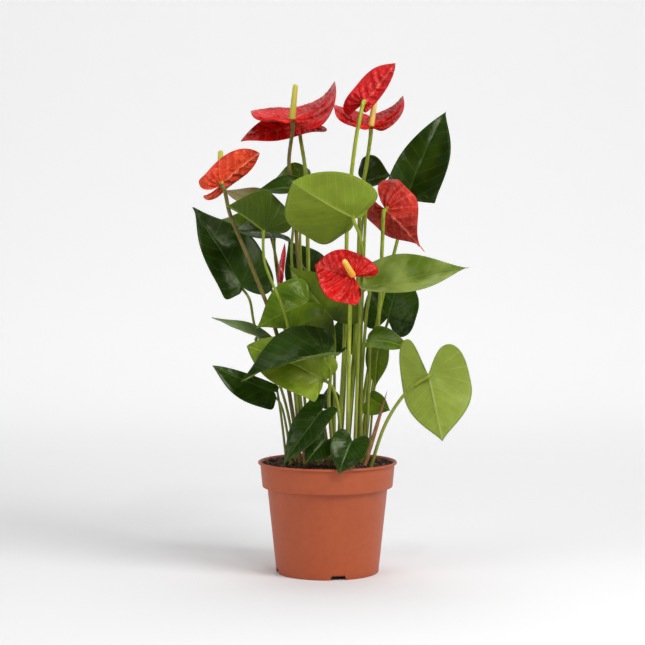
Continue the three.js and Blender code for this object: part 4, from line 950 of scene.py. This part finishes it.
def spathe_finish(name):
    """Glossy red skin with painted highlights on the blisters between the ribs; the ribs lighter, partly their
    own paler colour and on the front partly painted highlight; duller and oranger below.
    """
    low, high, ribs, depth, shine = SPATHE_BACKS[name]
    finish, start, place = new_finish(name + "_red")
    course, middle, rim = noted(start, "veins").parts()
    spot = noted(start, "spot")
    along, aside, face = spot.parts()
    above = face.rise(-0.3, 0.3)
    side_vein = from_vein(course).rise(0.12, 0.0)
    midrib = middle.rise(1.6, 0.2)
    joint_zone = (along * along + aside * aside).rise(0.00040, 0.00002)
    cells = cell_walls(spot, SPATHE_NET_SCALE)
    cloud = start.grain(place, 0.02, 3.0)
    wrinkle = start.grain(spot, 0.0035, 4.0, 0.6)
    # blister_highlight: painted highlight on the high spots of the wrinkles, on both faces
    blister_highlight = wrinkle.rise(0.52, 0.7)
    front = cloud.rise(0.3, 0.7).blend(srgb(154, 2, 3), srgb(204, 8, 10))
    # On the front, the lighter veins and midrib are partly their own paler colour and partly painted highlight;
    # blister_highlight is painted highlight.
    for mark, share, tint in (
            (blister_highlight, 0.1, (232, 52, 48)), (side_vein, 0.3, (228, 84, 72)),
            (midrib, 0.25, (232, 104, 90)), (joint_zone, 0.18, (220, 78, 68))):
        front = (mark * share).blend(front, srgb(*tint))
    back = cloud.rise(0.3, 0.7).blend(srgb(*low), srgb(*high))
    # painted highlights on the blisters of the underside
    back = (blister_highlight * 0.4).blend(back, lighter(high))
    for mark, share in ((side_vein, 0.22), (cells, 0.1), (midrib, 0.5)):
        back = (mark * share).blend(back, srgb(*ribs))
    colour = above.blend(back, front)
    colour = (rim.rise(0.9, 0.0) * 0.4).blend(colour, srgb(150, 10, 18))
    relief = wrinkle - side_vein * 0.4 - cells * 0.12
    return coat(finish, colour, 0.19 + 0.16 * wrinkle + (1 - above) * 0.06, relief, depth,
                Specular_IOR_Level=shine, Specular_Tint=(1.0, 0.62, 0.55, 1.0))


SPADIX_LOOKS = {
    # foot, tip, and the painted shade in the grooves between the florets: green before they open, then cream,
    # then deep yellow
    "green": ((172, 164, 44), (196, 190, 72), (146, 136, 34)),
    "cream": ((222, 186, 84), (240, 220, 140), (198, 152, 58)),
    "yellow": ((236, 168, 36), (246, 206, 92), (206, 128, 22)),
}
STEM_LOOKS = {
    # shaded streaks, lit streaks and foot
    "green": ((112, 128, 20), (154, 168, 50), (150, 148, 66)),
    "bright": ((134, 150, 26), (172, 184, 64), (164, 164, 84)),
    "brown": ((86, 74, 28), (120, 108, 48), (116, 88, 48)),
}


def floret_finish(tone):
    """Matte florets: paler towards the tip of the spadix, with painted shade in the grooves between them."""
    foot, tip, groove = SPADIX_LOOKS[tone]
    finish, start, place = new_finish("florets_" + tone)
    _, between, tall = noted(start, "spot").parts()
    speck = start.grain(place, 0.0006, 2.0)
    colour = tall.blend(srgb(*foot), srgb(*tip))
    # painted shade in the hollows between the florets
    colour = (between * 0.55).blend(colour, srgb(*groove))
    colour = (speck.rise(0.55, 0.8) * 0.3).blend(colour, lighter(tip))
    return coat(finish, colour, 0.55, speck, 0.0001)


spadix_finishes = {tone: floret_finish(tone) for tone in SPADIX_LOOKS}
bloom_stem_finishes = {tone: stem_finish("bloom_stem_" + tone, *look) for tone, look in STEM_LOOKS.items()}


def upright_ball(name, segments, rings):
    """A ball, with each corner's turn round it and its share of the way up."""
    ball, spots = round_ball(name, segments, rings)
    around = np.arctan2(spots[:, 1], spots[:, 0])
    return ball, around, 1 - np.arccos(np.clip(spots[:, 2], -1, 1)) / math.pi


def round_line(foot, tip, around, share, radius):
    """Points round the line from foot to tip, each at its own radius."""
    foot, tip = np.array(foot, float), np.array(tip, float)
    axis = unit(tip - foot)
    across = unit(np.cross(axis, (0.31, 1, 0.17)))
    third = np.cross(axis, across)
    return (foot + share[:, None] * (tip - foot) + (radius * np.cos(around))[:, None] * across
            + (radius * np.sin(around))[:, None] * third)


def rounded(run, reach):
    """Rises like a quarter of a circle from 0 to 1 over that reach."""
    return np.sqrt(np.clip(1 - (1 - np.clip(run / reach, 0, 1)) ** 2, 0, 1))


def make_spadix(name, foot, tip):
    """A tapered rod of florets: a ball drawn out along the stem, with bumps on a spiral lattice."""
    rod, around, share = upright_ball(name, *SPADIX_GRID)
    length = np.linalg.norm(np.array(tip, float) - foot)
    run = share * length
    thick, thin = SPADIX_RADII
    turn = FLORET_SPIRALS * around / (2 * math.pi)
    climb = run / FLORET_PITCH
    bumps = np.abs(np.sin(math.pi * (turn + climb / 2))) * np.abs(np.sin(math.pi * (turn - climb / 2)))
    radius = thick + (thin - thick) * share + FLORET_HEIGHT * (bumps - 0.4)
    radius = radius * rounded(length - run, SPADIX_DOME) * rounded(run, SPADIX_BASE)
    lay_out(rod, round_line(foot, tip, around, share, radius))
    note_on(rod, "spot", bumps, 1 - np.clip(bumps * 2.2, 0, 1), share)
    return rod


def finish_smooth(piece, finish, slot, *nodes):
    """The piece takes its finish, smooth shading and its place."""
    piece.data.materials.append(finish)
    select_only(piece)
    bpy.ops.object.shade_smooth()
    place_piece(piece, slot, *nodes)


for row in map(full_row, BLOOM_ROWS):
    name = row["name"]
    spadix_tone, stem_tone = row["tone"]
    spathe = make_blade(row, SPATHE_GRID, SPATHE_THICKNESS, SPATHE_RELIEF)
    finish_smooth(spathe, spathe_finish(name), "spathe", name + "_spathe")
    spathe.name = name + "_waxy_spathe"
    top = [below_blade(row, SPATHE_NECK), below_blade(row, SPATHE_SEAT)]
    course = stem_course([*row["stalk"], *top], BLOOM_STEM_STEPS)
    radii = stem_radii(course, BLOOM_STEM_WIDTH * row["radius"], BLOOM_STEM_SWELL)
    stem = make_stem(name + "_round_stem", course, radii)
    finish_smooth(stem, bloom_stem_finishes[stem_tone], "stem", name + "_stem")
    rod = make_spadix(name + "_floret_spadix", below_blade(row, -SPATHE_SEAT), row["spadix"])
    finish_smooth(rod, spadix_finishes[spadix_tone], "spadix", name + "_spadix")

# ---------------------------------------------------------------- bud
# A spathe still rolled up round its spadix: a slim red spindle wound in a spiral, with one free edge. It
# leaves a light green sheath at its foot and stands on a thin stem of its own.
BUD_FOOT = [-42, 8, 244]
BUD_TIP = [-36.8, 8, 284]
BUD_RADII = [1.6, 2.4, 2.6, 2.6, 2.4, 2.2, 1.8, 1.2]
BUD_EDGE = 0.5
BUD_TURNS = 1.6
BUD_STALK = [[-15, -2, 76], [-26, 4, 170], [-36, 8, 220], [-42, 8, 243.5]]
BUD_STALK_RADIUS = 1.2
SPINDLE_GRID = (48, 72)
SPINDLE_CREASE = math.radians(50)


def make_spindle(name, foot, tip, radii, ridge, turns):
    """A slim ball drawn out between two points, with a spiral edge standing off it."""
    rod, around, share = upright_ball(name, *SPINDLE_GRID)
    body = np.interp(share, np.linspace(0, 1, len(radii)), radii)
    ends = rounded(share, 0.06) * np.clip((1 - share) / 0.25, 0, 1) ** 0.6
    phase = (around / (2 * math.pi) + turns * share) % 1
    lay_out(rod, round_line(foot, tip, around, share, (body + ridge * (phase - 0.5)) * ends))
    note_on(rod, "spot", phase, share, around)
    select_only(rod)
    bpy.ops.object.shade_smooth_by_angle(angle=SPINDLE_CREASE)
    return rod


bud_finish, start, place = new_finish("rolled_spathe")
phase, share, around = noted(start, "spot").parts()
streak = start.grain(place, 0.002, 3.0)
rolled = share.blend(srgb(168, 8, 20), srgb(194, 18, 32))
# painted pink-white highlights: in streaks over the red and along the free edge of the roll
rolled = (streak.rise(0.5, 0.75) * 0.3).blend(rolled, srgb(232, 110, 118))
rolled = (phase.rise(0.90, 1.0) * 0.6).blend(rolled, srgb(240, 150, 150))
rolled = (share + 0.1 * phase).rise(0.22, 0.16).blend(rolled, srgb(132, 150, 62))
coat(bud_finish, rolled, 0.25, streak, 0.0001, Coat_Weight=0.3, Coat_Roughness=0.15)

bud = make_spindle("rolled_bud", BUD_FOOT, BUD_TIP, BUD_RADII, BUD_EDGE, BUD_TURNS)
bud.data.materials.append(bud_finish)
place_piece(bud, "spathe", "bud_spathe")
course = stem_course(BUD_STALK, BLOOM_STEM_STEPS)
bud_stem = make_stem("bud_round_stem", course, stem_radii(course, BUD_STALK_RADIUS, 0))
finish_smooth(bud_stem, bloom_stem_finishes["green"], "stem", "bud_stem")

# ---------------------------------------------------------------- sheaths
# Dry brown sheaths left at the foot of the stems: papery, ribbed along and drawn out to a point.
# Each one is rolled up loosely, with one long edge standing off it, and sits in the peat.
SHEATHS = {
    "sheath_tall": ([27, -24, 80], [51, -20, 159]),
    "sheath_left": ([-15, -29, 80], [-27, -29, 146]),
    "sheath_front": ([3, -22, 80], [-5, -25, 147]),
}
SHEATH_RADII = [1.1, 1.7, 1.9, 1.7, 1.2, 0.6]
SHEATH_EDGE = 0.4
SHEATH_TURNS = 0.4
SHEATH_RIBS = 9.0

sheath_finish, start, place = new_finish("papery_sheath")
phase, share, around = noted(start, "spot").parts()
rib = start.sum_with("SINE", around * SHEATH_RIBS).rise(-1.0, 1.0)
patch = start.grain(place, 0.006, 4.0, 0.6)
brown = patch.rise(0.3, 0.7).blend(srgb(124, 78, 44), srgb(172, 122, 74))
brown = (rib * 0.35).blend(brown, srgb(186, 138, 92))
brown = (share.rise(0.6, 1.0) * 0.4).blend(brown, srgb(120, 78, 48))
coat(sheath_finish, brown, 0.62, rib + patch, 0.0003)

for name, (foot, tip) in SHEATHS.items():
    sheath = make_spindle(name + "_papery", foot, tip, SHEATH_RADII, SHEATH_EDGE, SHEATH_TURNS)
    sheath.data.materials.append(sheath_finish)
    place_piece(sheath, "sheath", name)

# ---------------------------------------------------------------- studio
# A plain pale floor that runs up into the backdrop in one sweep. The light is soft, from the right and above,
# and the camera stands a little above the middle of the plant, tipped slightly down.
FLOOR_FRONT = -4.0
COVE_START = 1.3
COVE_RADIUS = 1.2
WALL_TOP = 3.5
STAGE_WIDTH = 8.0
STAGE_STRIPS = 60
BACKDROP_GLOW = 0.418
AIR_LIGHT = 0.25
PLANT_MIDDLE = (0, 0, 0.22)
LAMPS = {
    # place, target, size and power
    "key": ((1.0, -0.9, 1.2), PLANT_MIDDLE, 0.8, 23),
    "fill": ((-1.2, -0.9, 0.7), PLANT_MIDDLE, 0.9, 7.8),
    "top": ((0.0, 0.35, 1.8), (0, 0, 0.2), 1.0, 9),
    "glint": ((0.35, -1.3, 1.5), (0, 0, 0.25), 0.15, 4),
}
CAMERA_PLACE = (-0.0043, -1.5, 0.281)
CAMERA_TILT = math.radians(87.5)
CAMERA_LENS = 97.34

floor_finish, start, place = new_finish("studio_floor")
far = place.parts()[1].rise(-0.1, 1.9)
glow = far.blend((0, 0, 0, 1), (BACKDROP_GLOW, BACKDROP_GLOW, BACKDROP_GLOW, 1))
coat(floor_finish, srgb(227, 227, 228), 0.9, Specular_IOR_Level=0.1, Emission_Color=glow, Emission_Strength=1.0)

bpy.ops.object.select_all(action="DESELECT")
bpy.ops.mesh.primitive_grid_add(x_subdivisions=2, y_subdivisions=STAGE_STRIPS, size=1)
floor = bpy.context.object
floor.name = "studio_floor"
level_run = COVE_START - FLOOR_FRONT
cove_run = math.pi / 2 * COVE_RADIUS
whole_run = level_run + cove_run + WALL_TOP - COVE_RADIUS
for vertex in floor.data.vertices:
    run = (vertex.co.y + 0.5) * whole_run
    turn = min(max((run - level_run) / COVE_RADIUS, 0), math.pi / 2)
    past = max(run - level_run - cove_run, 0)
    vertex.co.x *= STAGE_WIDTH
    vertex.co.y = FLOOR_FRONT + min(run, level_run) + COVE_RADIUS * math.sin(turn)
    vertex.co.z = COVE_RADIUS * (1 - math.cos(turn)) + past
select_only(floor)
bpy.ops.object.shade_smooth()
floor.data.materials.append(floor_finish)

world = bpy.data.worlds.new("studio_air")
world.use_nodes = True
world.node_tree.nodes["Background"].inputs["Color"].default_value = srgb(250, 249, 247)
world.node_tree.nodes["Background"].inputs["Strength"].default_value = AIR_LIGHT
bpy.context.scene.world = world

for name, (place, target, size, power) in LAMPS.items():
    lamp = bpy.data.lights.new(name, "AREA")
    lamp.size = size
    lamp.energy = power
    stand = bpy.data.objects.new(name, lamp)
    stand.location = place
    stand.rotation_euler = (Vector(target) - Vector(place)).to_track_quat("-Z", "Y").to_euler()
    bpy.context.collection.objects.link(stand)

lens = bpy.data.cameras.new("front_view")
lens.sensor_width = 36
lens.lens = CAMERA_LENS
camera = bpy.data.objects.new("front_view", lens)
camera.location = CAMERA_PLACE
camera.rotation_euler = (CAMERA_TILT, 0, 0)
bpy.context.collection.objects.link(camera)
bpy.context.scene.camera = camera
bpy.context.scene.view_settings.view_transform = "Standard"

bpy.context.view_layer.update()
